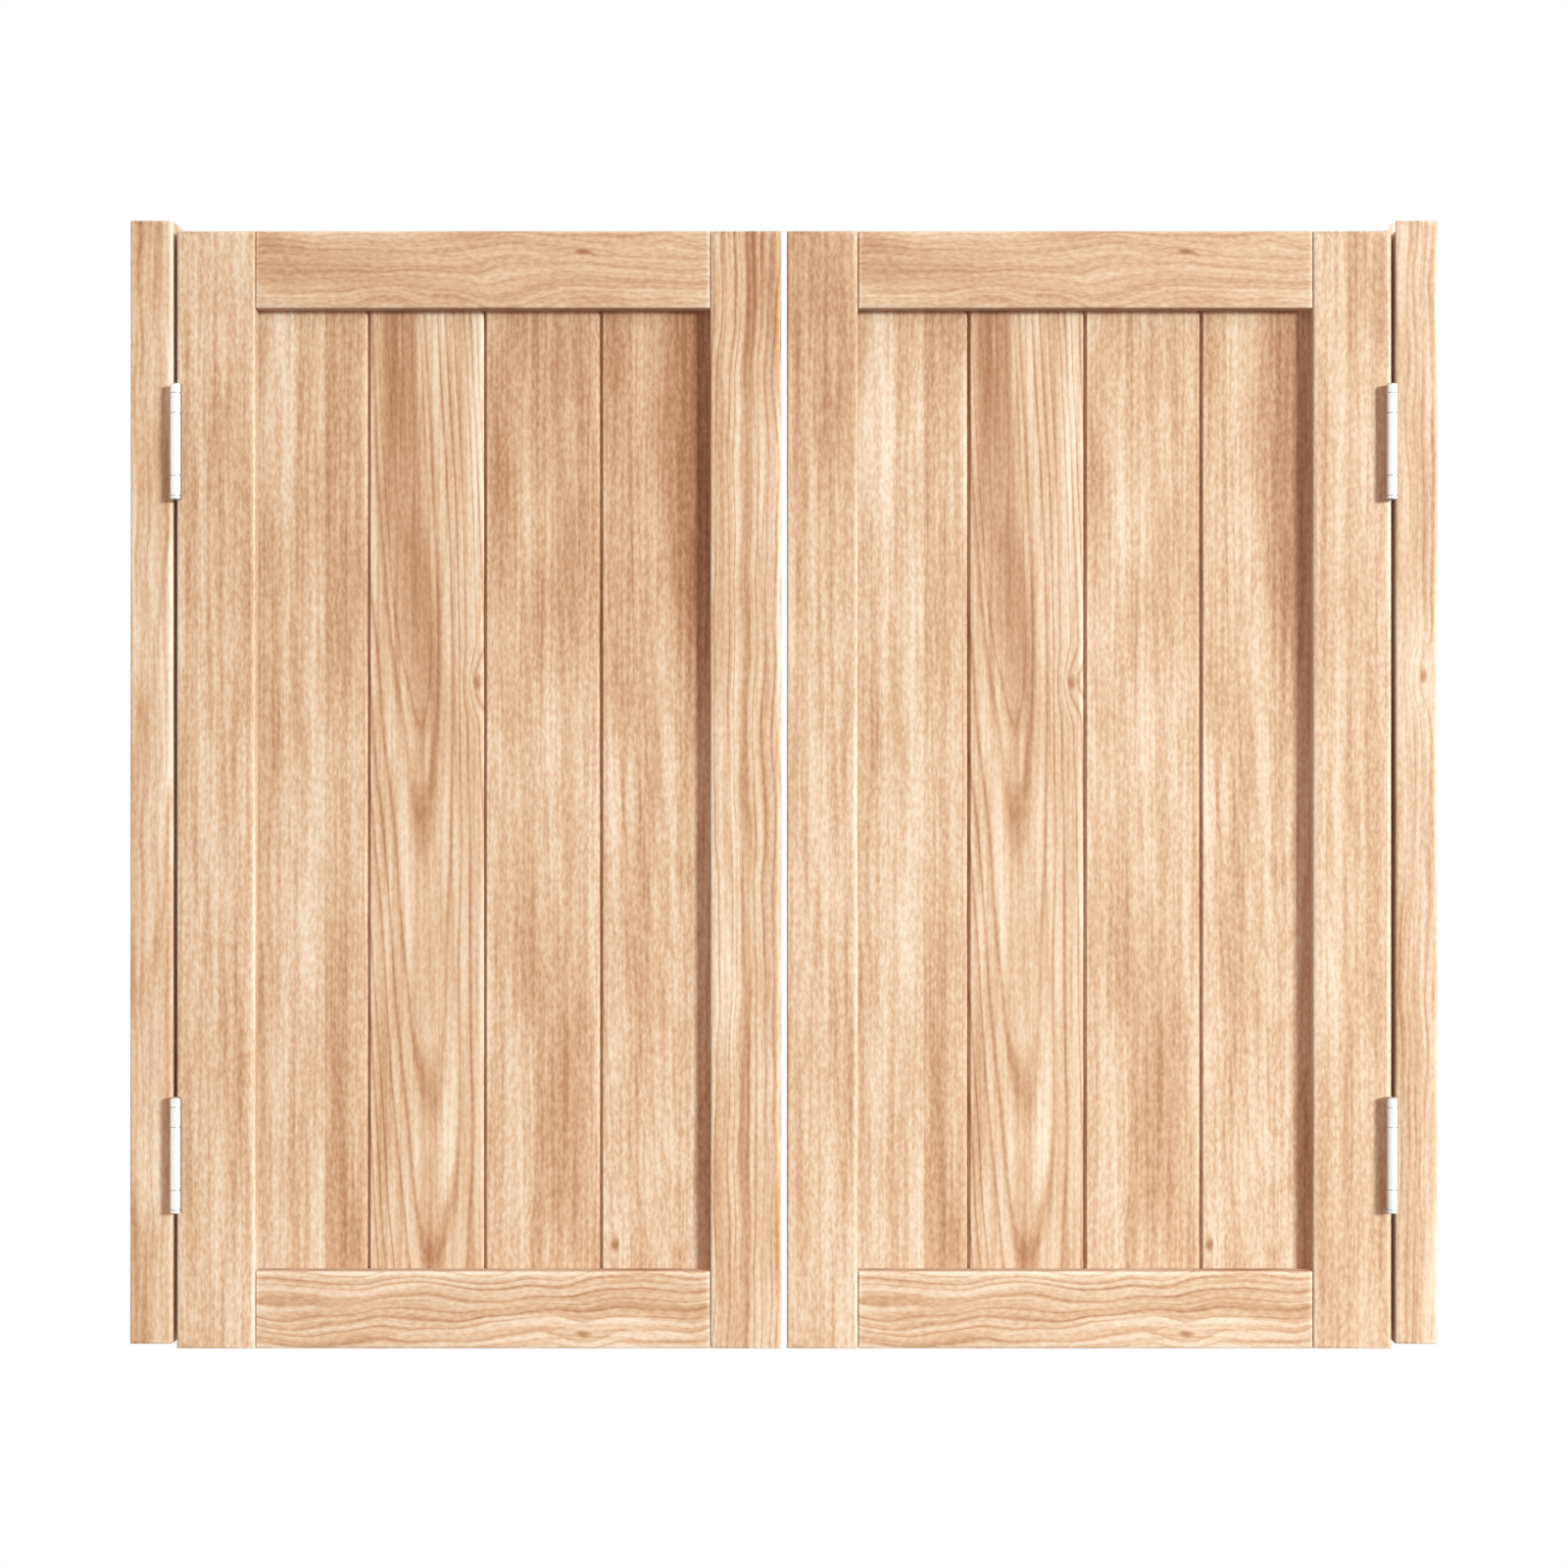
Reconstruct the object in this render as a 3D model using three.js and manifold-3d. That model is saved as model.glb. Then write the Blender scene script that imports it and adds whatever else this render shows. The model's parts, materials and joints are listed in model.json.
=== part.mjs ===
// Cafe swinging doors: a pair of frame-and-panel leaves that swing both ways between two slim
// jamb posts, each leaf on two double-action spring hinges.
// Millimetres, +Z up, front towards -Y. The origin is under the middle of the doorway,
// level with the foot of the leaves.

import * as THREE from "three";
import { mergeVertices } from "three/addons/utils/BufferGeometryUtils.js";
import Module from "manifold-3d";

const wasm = await Module();
wasm.setup();

// Doorway
const leafWidth = 524.5;
const leafHeight = 970;
const doorThickness = 38; // the leaves and the jamb posts are flush, front and back
const hingeGap = 3.5; // between a jamb post and its leaf
const meetingGap = 5; // between the two leaves
const jambWidth = 37;
const jambHeight = 975;
const jambRise = 4; // foot of a jamb post above the foot of the leaves
const arrisWidth = 4.5; // the front and back of all frame timber are eased by a wide, shallow curve
const arrisDepth = 1.8;

// Leaf frame, held together by stub tenons
const hingeStileWidth = 68;
const meetingStileWidth = 61.5;
const railHeight = 67;
const tenonThickness = 12;
const tenonLength = 40;
const shoulderWood = 3; // timber between a tenon and the panel groove
const woodClearance = 0.3;

// Panel of tongue-and-groove boards, let into the frame on all four sides
const panelThickness = 12;
const panelGroove = 9;
const firstBoardShowing = 95.5; // beside the hinge stile
const boardCover = 101.5; // from one board joint to the next
const boardCount = 4;
const tongueLength = 5;
const tongueThickness = 4;
const vee = 2.5; // chamfer on each face edge of a board joint

// Hinges
const upperHingeDrop = 184; // middle of the upper hinge below the top of the leaf
const lowerHingeRise = 169; // middle of the lower hinge above the foot of the leaf
const barrelLength = 100;
const footHeight = 3;
const capHeight = 8;
const flangeKnuckle = 17;
const plateThickness = 1;
const flangeLetIn = 0.3; // how deep a flange is let into the timber
const flangeReach = 32; // how far a flange runs across the edge of the door
const rodRadius = 1.4;
const springWire = 1.4;
const springClearance = 0.6; // between the wire and the rod, and between the wire and the bore
const springCoils = 6;
const plugGrip = 3; // length of a plug that carries the web's knuckle
const plugClearance = 0.2;
const rodClearance = 0.15;
const barrelStandoff = 0.6; // between a barrel and the face of the door
const runningGap = 0.3; // between neighbouring knuckles
const seatGap = 0.3; // round a flange and its screws in the timber
const edgeBreak = 0.8; // broken edges at the two ends of a barrel
const socketRadius = 2.3; // hexagon socket that winds the spring
const socketDepth = 4;
const toothWidth = 1.6; // tooth that locks a tension cap to its knuckle
const toothDepth = 2;

// Screws
const screwRadius = 1.75;
const screwLength = 22;
const screwHeadRadius = 3.4;
const screwCrownRadius = 2.4;
const screwHeadRise = 0.3;
const screwEdge = 10; // from a screw to the edge of the flange
const wallHoleRadius = 2.75; // wall screws through a jamb post, sunk below its inner side
const wallHeadRadius = 5.5;
const wallHeadDepth = 12;
const wallHoleInset = 70; // from the ends of a jamb post

// Roundness of turned and rounded forms
const barrelSides = 14;
const screwSides = 8;
const arrisSteps = 2; // facets round a quarter
const curlSteps = 8;
const wireSides = 5;
const weldDistance = 1e-4;
const cutPast = 1; // how far a cut runs past the face that it opens

// Places worked out from the sizes above
const quarterTurn = Math.PI / 2;
const halfThickness = doorThickness / 2;
const overallWidth = 2 * (jambWidth + hingeGap + leafWidth) + meetingGap;
const jambOuter = -overallWidth / 2;
const jambInner = jambOuter + jambWidth;
const gapMiddle = jambInner + hingeGap / 2;
const leafEdge = jambInner + hingeGap;
const meetingEdge = leafEdge + leafWidth;
const openingLeft = leafEdge + hingeStileWidth;
const openingRight = meetingEdge - meetingStileWidth;
const tenonShoulder = panelGroove + shoulderWood;
const hingeHeights = { upper: leafHeight - upperHingeDrop, lower: lowerHingeRise };

// A barrel's bore takes the rod and the spring round it. The jamb flange rolls straight into its
// knuckles, which sets the axis a little towards the leaf from the middle of the gap.
const boreRadius = rodRadius + springWire + 2 * springClearance;
const barrelRadius = boreRadius + plateThickness;
const plugRadius = boreRadius - plugClearance;
const flangeBack = hingeGap / 2 + flangeLetIn;
const flangeFace = flangeBack - plateThickness;
const barrelOffset = barrelRadius - flangeBack;
const barrelReach = halfThickness + barrelStandoff + barrelRadius;

// Levels along a barrel, from its middle
const barrelTop = barrelLength / 2;
const footTop = -barrelTop + footHeight;
const capBottom = barrelTop - capHeight;
const lowerKnuckle = { bottom: footTop + runningGap, top: footTop + runningGap + flangeKnuckle };
const upperKnuckle = { bottom: capBottom - runningGap - flangeKnuckle, top: capBottom - runningGap };
const webKnuckle = { bottom: lowerKnuckle.top + runningGap, top: upperKnuckle.bottom - runningGap };
const plugTop = webKnuckle.bottom + plugGrip;
const plugBottom = webKnuckle.top - plugGrip;

const oak = { color: 0xe3be9b, roughness: 0.62, metalness: 0 };
const satinSteel = { color: 0xd8dadc, roughness: 0.32, metalness: 1 };
const springSteel = { color: 0x8a8d90, roughness: 0.4, metalness: 1 };

// Solids

function solidFrom(geometry) {
  const bare = geometry.clone();
  bare.deleteAttribute("normal");
  bare.deleteAttribute("uv");
  const welded = mergeVertices(bare, weldDistance);
  const corners = welded.index.array;
  const triangles = [];
  for (let i = 0; i < corners.length; i += 3) {
    const [a, b, c] = corners.slice(i, i + 3);
    if (a !== b && b !== c && c !== a) {
      triangles.push(a, b, c);
    }
  }
  return new wasm.Manifold(new wasm.Mesh({
    numProp: 3,
    vertProperties: new Float32Array(welded.attributes.position.array),
    triVerts: new Uint32Array(triangles),
  }));
}

function geometryFrom(solid) {
  const mesh = solid.getMesh();
  const geometry = new THREE.BufferGeometry();
  geometry.setAttribute("position", new THREE.BufferAttribute(mesh.vertProperties, 3));
  geometry.setIndex(new THREE.BufferAttribute(mesh.triVerts, 1));
  geometry.computeVertexNormals();
  return geometry;
}

function joined(solids) {
  return solids.reduce((whole, solid) => whole.add(solid));
}

function cutBy(solid, cutters) {
  return cutters.reduce((whole, cutter) => whole.subtract(cutter), solid);
}

// A box between two corners, given in any order.
function block(cornerA, cornerB) {
  const size = cornerA.map((value, axis) => Math.abs(cornerB[axis] - value));
  const middle = cornerA.map((value, axis) => (cornerB[axis] + value) / 2);
  const geometry = new THREE.BoxGeometry(...size);
  geometry.translate(...middle);
  return solidFrom(geometry);
}

// A length of dressed timber, drawn from its face and eased all round its front and back.
function timber(left, right, foot, head) {
  const outline = new THREE.Shape([
    new THREE.Vector2(left, foot),
    new THREE.Vector2(right, foot),
    new THREE.Vector2(right, head),
    new THREE.Vector2(left, head),
  ]);
  const geometry = new THREE.ExtrudeGeometry(outline, {
    depth: doorThickness - 2 * arrisDepth,
    bevelThickness: arrisDepth,
    bevelSize: arrisWidth,
    bevelOffset: -arrisWidth,
    bevelSegments: arrisSteps,
  });
  geometry.rotateX(quarterTurn);
  geometry.translate(0, halfThickness - arrisDepth, 0);
  return solidFrom(geometry);
}

// An upright cylinder on a barrel's axis.
function pillar(x, y, bottom, top, radius) {
  const geometry = new THREE.CylinderGeometry(radius, radius, top - bottom, barrelSides);
  geometry.rotateX(quarterTurn);
  geometry.translate(x, y, (bottom + top) / 2);
  return solidFrom(geometry);
}

// A cone or cylinder along X, from one end to the other.
function bolt(startX, endX, y, z, startRadius, endRadius) {
  const geometry = new THREE.CylinderGeometry(endRadius, startRadius, Math.abs(endX - startX), screwSides);
  geometry.rotateZ(endX > startX ? -quarterTurn : quarterTurn);
  geometry.translate((startX + endX) / 2, y, z);
  return solidFrom(geometry);
}

// A form turned about the Z axis. The profile runs up its outside, from axis to axis.
function turned(profile) {
  const points = profile.map(([radius, height]) => new THREE.Vector2(radius, height));
  const geometry = new THREE.LatheGeometry(points, barrelSides);
  geometry.rotateX(quarterTurn);
  return solidFrom(geometry);
}

// Hinge pieces, around the middle of the hinge. Side -1 is the jamb's flange, whose barrel
// stands in front of the door. Side 1 is the leaf's flange, whose barrel stands behind it.

function screwPlaces(side) {
  const nearFace = side * (halfThickness - screwEdge);
  const farFromFace = side * (halfThickness - flangeReach + screwEdge);
  return [
    { y: nearFace, z: lowerKnuckle.bottom + screwEdge },
    { y: nearFace, z: upperKnuckle.top - screwEdge },
    { y: farFromFace, z: (lowerKnuckle.bottom + upperKnuckle.top) / 2 },
  ];
}

function screw(side, place) {
  const face = side * flangeFace;
  const rim = face + side * plateThickness / 2;
  const head = bolt(rim, face - side * screwHeadRise, place.y, place.z, screwHeadRadius, screwCrownRadius);
  const shank = bolt(rim, face + side * screwLength, place.y, place.z, screwRadius, screwRadius);
  return head.add(shank);
}

function flange(side) {
  const face = side * flangeFace;
  const back = side * flangeBack;
  const axisY = side * barrelReach;
  const plateEnd = side * (halfThickness - flangeReach);
  const plate = block([face, axisY, lowerKnuckle.bottom], [back, plateEnd, upperKnuckle.top]);
  const knuckles = [lowerKnuckle, upperKnuckle].map(
    ({ bottom, top }) => pillar(barrelOffset, axisY, bottom, top, barrelRadius),
  );
  const webWindow = block(
    [face - side * cutPast, side * halfThickness, lowerKnuckle.top],
    [back + side * cutPast, axisY + side * cutPast, upperKnuckle.bottom],
  );
  const bore = pillar(
    barrelOffset, axisY, lowerKnuckle.bottom - cutPast, upperKnuckle.top + cutPast, boreRadius,
  );
  const notchHalf = toothWidth / 2 + runningGap;
  const toothNotch = block(
    [barrelOffset, axisY - notchHalf, upperKnuckle.top - toothDepth],
    [barrelOffset + barrelRadius + cutPast, axisY + notchHalf, upperKnuckle.top + cutPast],
  );
  const sheet = cutBy(joined([plate.subtract(webWindow), ...knuckles]), [bore, toothNotch]);
  const screws = screwPlaces(side).map((place) => screw(side, place));
  return geometryFrom(joined([sheet, ...screws]));
}

function centerWeb() {
  const halfPlate = plateThickness / 2;
  const plate = block(
    [-halfPlate, -halfThickness, lowerKnuckle.bottom],
    [halfPlate, halfThickness, upperKnuckle.top],
  );
  const necks = block(
    [-halfPlate, -barrelReach, webKnuckle.bottom],
    [halfPlate, barrelReach, webKnuckle.top],
  );
  const knuckleAt = (y) => pillar(barrelOffset, y, webKnuckle.bottom, webKnuckle.top, barrelRadius);
  const boreAt = (y) => pillar(
    barrelOffset, y, webKnuckle.bottom - cutPast, webKnuckle.top + cutPast, boreRadius,
  );
  const sheet = joined([plate, necks, knuckleAt(-barrelReach), knuckleAt(barrelReach)]);
  return geometryFrom(cutBy(sheet, [boreAt(-barrelReach), boreAt(barrelReach)]));
}

function spindle() {
  return geometryFrom(turned([
    [0, -barrelTop],
    [barrelRadius - edgeBreak, -barrelTop],
    [barrelRadius, -barrelTop + edgeBreak],
    [barrelRadius, footTop],
    [plugRadius, footTop],
    [plugRadius, plugTop],
    [rodRadius, plugTop],
    [rodRadius, upperKnuckle.top - runningGap],
    [0, upperKnuckle.top - runningGap],
  ]));
}

// The cap holds the top of the rod. Its tooth points towards the leaf, where no flange is in its way.
function tensionCap() {
  const rodBore = rodRadius + rodClearance;
  const body = turned([
    [0, upperKnuckle.top],
    [rodBore, upperKnuckle.top],
    [rodBore, plugBottom],
    [plugRadius, plugBottom],
    [plugRadius, capBottom],
    [barrelRadius, capBottom],
    [barrelRadius, barrelTop - edgeBreak],
    [barrelRadius - edgeBreak, barrelTop],
    [0, barrelTop],
  ]);
  const tooth = block(
    [plugRadius - plugClearance, -toothWidth / 2, upperKnuckle.top - toothDepth + runningGap],
    [barrelRadius - plugClearance, toothWidth / 2, capBottom + plugClearance],
  );
  const socket = new THREE.CylinderGeometry(socketRadius, socketRadius, socketDepth + cutPast, 6);
  socket.rotateX(quarterTurn);
  socket.translate(0, 0, barrelTop + (cutPast - socketDepth) / 2);
  return geometryFrom(body.add(tooth).subtract(solidFrom(socket)));
}

// The closing spring: a helix whose two ends run on straight for one wire diameter.
const coilRadius = rodRadius + springClearance + springWire / 2;
const coilBottom = plugTop + runningGap + springWire / 2;
const coilHeight = plugBottom - runningGap - springWire / 2 - coilBottom;
const coilLength = Math.hypot(springCoils * 2 * Math.PI * coilRadius, coilHeight);

class SpringPath extends THREE.Curve {
  onHelix(share) {
    const angle = share * springCoils * 2 * Math.PI;
    const height = coilBottom + share * coilHeight;
    return new THREE.Vector3(coilRadius * Math.cos(angle), coilRadius * Math.sin(angle), height);
  }

  // Level legs in the direction of the winding, so that they keep clear of the plugs.
  onLeg(share, length) {
    const angle = share * springCoils * 2 * Math.PI;
    const along = new THREE.Vector3(-Math.sin(angle), Math.cos(angle), 0);
    return this.onHelix(share).addScaledVector(along, length);
  }

  getPoint(t) {
    const travelled = t * (coilLength + 2 * springWire) - springWire;
    if (travelled < 0) {
      return this.onLeg(0, travelled);
    }
    if (travelled > coilLength) {
      return this.onLeg(1, travelled - coilLength);
    }
    return this.onHelix(travelled / coilLength);
  }
}

function closingSpring() {
  const section = [];
  for (let side = 0; side < wireSides; side += 1) {
    const angle = side * 2 * Math.PI / wireSides;
    const reach = springWire / 2;
    section.push(new THREE.Vector2(reach * Math.cos(angle), reach * Math.sin(angle)));
  }
  return new THREE.ExtrudeGeometry(new THREE.Shape(section), {
    steps: springCoils * curlSteps + 2,
    extrudePath: new SpringPath(),
  });
}

// The least gap between a spring's wire and itself, from one curl to the next.
function leastSpringGap() {
  const stepsPerCurl = curlSteps * 4;
  const points = new SpringPath().getSpacedPoints(springCoils * stepsPerCurl);
  let least = Infinity;
  for (let i = 0; i < points.length; i += 1) {
    for (let j = i + stepsPerCurl / 2; j < points.length; j += 1) {
      least = Math.min(least, points[i].distanceTo(points[j]));
    }
  }
  return least - springWire;
}

// Timber pieces of the left-hand side. The right-hand side is the same, turned half round.

// The shallow pocket for a flange and the holes for its screws, at each of the two hinges.
function hingePockets(side) {
  const face = gapMiddle + side * hingeGap / 2;
  const floor = face + side * (flangeLetIn + seatGap);
  const holeEnd = gapMiddle + side * (flangeFace + screwLength + seatGap);
  const cutters = [];
  for (const height of Object.values(hingeHeights)) {
    cutters.push(block(
      [face - side * cutPast, side * (halfThickness + cutPast), height + lowerKnuckle.bottom - seatGap],
      [floor, side * (halfThickness - flangeReach - seatGap), height + upperKnuckle.top + seatGap],
    ));
    for (const { y, z } of screwPlaces(side)) {
      const holeRadius = screwRadius + seatGap;
      cutters.push(bolt(floor - side * cutPast, holeEnd, y, height + z, holeRadius, holeRadius));
    }
  }
  return cutters;
}

function jambPost() {
  const foot = jambRise;
  const head = jambRise + jambHeight;
  const post = timber(jambOuter, jambInner, foot, head);
  const wallHoles = [];
  for (const z of [foot + wallHoleInset, (foot + head) / 2, head - wallHoleInset]) {
    const headSeat = jambInner - wallHeadDepth;
    wallHoles.push(bolt(jambOuter - cutPast, jambInner, 0, z, wallHoleRadius, wallHoleRadius));
    wallHoles.push(bolt(headSeat, jambInner + cutPast, 0, z, wallHeadRadius, wallHeadRadius));
  }
  return geometryFrom(cutBy(post, [...hingePockets(-1), ...wallHoles]));
}

// A stile's mortises and panel groove, cut from its inner edge. Side 1 opens towards +X.
function stileJoints(innerEdge, side) {
  const grooveHalf = panelThickness / 2 + woodClearance;
  const mortiseHalf = tenonThickness / 2 + woodClearance;
  const mouth = innerEdge + side * cutPast;
  const mortiseFloor = innerEdge - side * (tenonLength + woodClearance);
  const groove = block(
    [mouth, -grooveHalf, railHeight - panelGroove],
    [innerEdge - side * panelGroove, grooveHalf, leafHeight - railHeight + panelGroove],
  );
  const mortises = [0, leafHeight - railHeight].map((railFoot) => block(
    [mouth, -mortiseHalf, railFoot + tenonShoulder - woodClearance],
    [mortiseFloor, mortiseHalf, railFoot + railHeight - tenonShoulder + woodClearance],
  ));
  return [groove, ...mortises];
}

function hingeStile() {
  const stile = timber(leafEdge, openingLeft, 0, leafHeight);
  return geometryFrom(cutBy(stile, [...stileJoints(openingLeft, 1), ...hingePockets(1)]));
}

function meetingStile() {
  const stile = timber(openingRight, meetingEdge, 0, leafHeight);
  return geometryFrom(cutBy(stile, stileJoints(openingRight, -1)));
}

// A rail with a tenon at each end. Its panel edge is the upper one on the bottom rail.
function rail(foot, panelEdge) {
  const head = foot + railHeight;
  const left = openingLeft + woodClearance;
  const right = openingRight - woodClearance;
  const body = timber(left, right, foot, head);
  const tenons = block(
    [openingLeft - tenonLength, -tenonThickness / 2, foot + tenonShoulder],
    [openingRight + tenonLength, tenonThickness / 2, head - tenonShoulder],
  );
  const intoRail = panelEdge === head ? -1 : 1;
  const groove = block(
    [left - cutPast, -panelThickness / 2 - woodClearance, panelEdge - intoRail * cutPast],
    [right + cutPast, panelThickness / 2 + woodClearance, panelEdge + intoRail * panelGroove],
  );
  return geometryFrom(body.add(tenons).subtract(groove));
}

// A board seen from above: groove on its left edge, tongue on its right, plain in the stiles.
function boardOutline(left, right, hasGroove, hasTongue) {
  const face = panelThickness / 2;
  const tongue = tongueThickness / 2;
  const slot = tongue + woodClearance;
  const tongueEnd = right + tongueLength;
  const slotEnd = left + tongueLength + woodClearance;
  const tongueEdge = [
    [right - vee, -face], [right, vee - face], [right, -tongue], [tongueEnd, -tongue],
    [tongueEnd, tongue], [right, tongue], [right, face - vee], [right - vee, face],
  ];
  const grooveEdge = [
    [left + vee, face], [left, face - vee], [left, slot], [slotEnd, slot],
    [slotEnd, -slot], [left, -slot], [left, vee - face], [left + vee, -face],
  ];
  const outline = [
    ...(hasTongue ? tongueEdge : [[right, -face], [right, face]]),
    ...(hasGroove ? grooveEdge : [[left, face], [left, -face]]),
  ];
  return new THREE.Shape(outline.map(([x, y]) => new THREE.Vector2(x, y)));
}

function panelBoard(index) {
  const last = boardCount - 1;
  const jointAfter = (board) => openingLeft + firstBoardShowing + board * boardCover;
  const inStile = panelGroove - woodClearance;
  const left = index === 0 ? openingLeft - inStile : jointAfter(index - 1) + woodClearance / 2;
  const right = index === last ? openingRight + inStile : jointAfter(index) - woodClearance / 2;
  const foot = railHeight - inStile;
  const geometry = new THREE.ExtrudeGeometry(boardOutline(left, right, index > 0, index < last), {
    depth: leafHeight - 2 * foot,
    bevelEnabled: false,
  });
  geometry.translate(0, 0, foot);
  return geometry;
}

// Assembly

const hingeShapes = {
  jambFlange: flange(-1),
  centerWeb: centerWeb(),
  leafFlange: flange(1),
  spindle: spindle(),
  spring: closingSpring(),
  tensionCap: tensionCap(),
};

const timberShapes = {
  jamb_post: jambPost(),
  hinge_stile: hingeStile(),
  meeting_stile: meetingStile(),
  bottom_rail: rail(0, railHeight),
  top_rail: rail(leafHeight - railHeight, leafHeight - railHeight),
};
for (let index = 0; index < boardCount; index += 1) {
  timberShapes[`panel_board_${index + 1}`] = panelBoard(index);
}

function addPiece(group, name, geometry, finish) {
  const mesh = new THREE.Mesh(geometry, new THREE.MeshStandardMaterial(finish));
  mesh.name = name;
  group.add(mesh);
}

function barrelContents(prefix, side) {
  const contents = new THREE.Group();
  contents.position.set(barrelOffset, side * barrelReach, 0);
  addPiece(contents, `${prefix}_spindle`, hingeShapes.spindle, satinSteel);
  addPiece(contents, `${prefix}_spring`, hingeShapes.spring, springSteel);
  addPiece(contents, `${prefix}_tension_cap`, hingeShapes.tensionCap, satinSteel);
  return contents;
}

function hinge(prefix, height) {
  const assembly = new THREE.Group();
  assembly.position.set(gapMiddle, 0, height);
  addPiece(assembly, `${prefix}_jamb_flange`, hingeShapes.jambFlange, satinSteel);
  addPiece(assembly, `${prefix}_center_web`, hingeShapes.centerWeb, satinSteel);
  addPiece(assembly, `${prefix}_leaf_flange`, hingeShapes.leafFlange, satinSteel);
  assembly.add(barrelContents(`${prefix}_jamb`, -1));
  assembly.add(barrelContents(`${prefix}_leaf`, 1));
  return assembly;
}

function doorSide(name) {
  const side = new THREE.Group();
  for (const [piece, geometry] of Object.entries(timberShapes)) {
    addPiece(side, `${name}_${piece}`, geometry, oak);
  }
  for (const [level, height] of Object.entries(hingeHeights)) {
    side.add(hinge(`${name}_${level}`, height));
  }
  return side;
}

const doors = new THREE.Group();
const leftSide = doorSide("left");
const rightSide = doorSide("right");
rightSide.rotation.z = Math.PI;
doors.add(leftSide, rightSide);

console.log(`least gap of a closing spring to itself: ${leastSpringGap().toFixed(2)} mm`);

export default doors;
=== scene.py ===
# %% [markdown]
# # A pair of cafe doors
# The CAD model gives every piece its true size and place. This lesson dresses it for the eye. The
# timber gets rounded arrises and a grain that runs along each plank, the hinges get smooth turned
# barrels and cross-recessed screws, and a plain studio lights the pair from the right.
# Forms are drawn in millimetres and become metres when they turn into pieces.

# %% Load the frame
import json
import math

import bmesh
import bpy
from mathutils import Matrix, Vector

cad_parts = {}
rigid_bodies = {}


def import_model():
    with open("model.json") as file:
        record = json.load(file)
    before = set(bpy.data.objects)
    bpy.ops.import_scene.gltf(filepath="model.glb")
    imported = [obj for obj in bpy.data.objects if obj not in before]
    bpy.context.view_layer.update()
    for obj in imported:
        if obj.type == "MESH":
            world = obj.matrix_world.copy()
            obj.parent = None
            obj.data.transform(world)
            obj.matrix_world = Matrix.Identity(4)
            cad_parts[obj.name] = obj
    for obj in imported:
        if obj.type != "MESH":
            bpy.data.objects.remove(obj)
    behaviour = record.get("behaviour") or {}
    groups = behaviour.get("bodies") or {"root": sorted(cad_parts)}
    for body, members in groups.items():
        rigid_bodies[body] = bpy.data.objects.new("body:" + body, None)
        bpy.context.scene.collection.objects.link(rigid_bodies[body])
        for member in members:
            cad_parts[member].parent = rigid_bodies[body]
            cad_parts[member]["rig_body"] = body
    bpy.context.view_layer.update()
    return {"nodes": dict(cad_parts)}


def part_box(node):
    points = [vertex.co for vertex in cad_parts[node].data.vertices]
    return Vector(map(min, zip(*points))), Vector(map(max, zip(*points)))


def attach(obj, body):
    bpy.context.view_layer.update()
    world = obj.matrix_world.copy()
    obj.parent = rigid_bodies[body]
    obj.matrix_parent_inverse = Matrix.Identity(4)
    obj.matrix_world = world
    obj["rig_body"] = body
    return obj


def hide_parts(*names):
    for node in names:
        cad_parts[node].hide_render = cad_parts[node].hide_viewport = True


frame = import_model()
mm = 0.001

# %% [markdown]
# ## Forms and pieces
# A bmesh is a mesh on the workbench: it can be bevelled, spun or extruded freely, and it becomes an
# object of the scene once it is finished. Four small helpers cover everything here: a box, a flat
# outline drawn upwards, a turned profile, and the step from a form to a piece.

# %% Workbench helpers
turned_sides = 48
weld_distance = 1e-4


def block(low, high):
    """A box between two corners, given in any order."""
    form = bmesh.new()
    bmesh.ops.create_cube(form, size=1)
    size = [abs(b - a) for a, b in zip(low, high)]
    middle = [(a + b) / 2 for a, b in zip(low, high)]
    bmesh.ops.scale(form, vec=size, verts=form.verts)
    bmesh.ops.translate(form, vec=middle, verts=form.verts)
    return form


def drawn_up(outline, bottom, top):
    """A flat outline of (x, y) points, drawn up from one level to another."""
    form = bmesh.new()
    face = form.faces.new([form.verts.new((x, y, bottom)) for x, y in outline])
    made = bmesh.ops.extrude_face_region(form, geom=[face])
    risen = [part for part in made["geom"] if isinstance(part, bmesh.types.BMVert)]
    bmesh.ops.translate(form, vec=(0, 0, top - bottom), verts=risen)
    return form


def turned(profile, sides=turned_sides):
    """A profile of (radius, height) points that starts and ends on the Z axis, spun round it."""
    form = bmesh.new()
    points = [form.verts.new((radius, 0, height)) for radius, height in profile]
    edges = [form.edges.new(pair) for pair in zip(points, points[1:])]
    bmesh.ops.spin(
        form,
        geom=points + edges,
        cent=(0, 0, 0),
        axis=(0, 0, 1),
        angle=2 * math.pi,
        steps=sides,
        use_merge=True,
    )
    bmesh.ops.remove_doubles(form, verts=form.verts, dist=weld_distance)
    return form


def new_piece(name, form):
    """Turn a finished form, drawn in millimetres, into an object of the scene."""
    bmesh.ops.recalc_face_normals(form, faces=form.faces)
    bmesh.ops.scale(form, vec=(mm, mm, mm), verts=form.verts)
    mesh = bpy.data.meshes.new(name)
    form.to_mesh(mesh)
    form.free()
    piece = bpy.data.objects.new(name, mesh)
    bpy.context.scene.collection.objects.link(piece)
    return piece


# %% [markdown]
# ## Joining and cutting
# A joiner cuts pockets and grooves after the timber is dressed, and a Boolean modifier does the same
# to a mesh. The result is kept as plain mesh, so nothing is left to go wrong later. A cutter is drawn
# one millimetre past the face that it cuts, so that no two faces lie on each other. Weighted normals
# keep the large faces truly flat in the light, while the rounded edges between them stay smooth.

# %% Cutting and shading helpers
past = 1
sharp_angle = 35
easing_steps = 2


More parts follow.
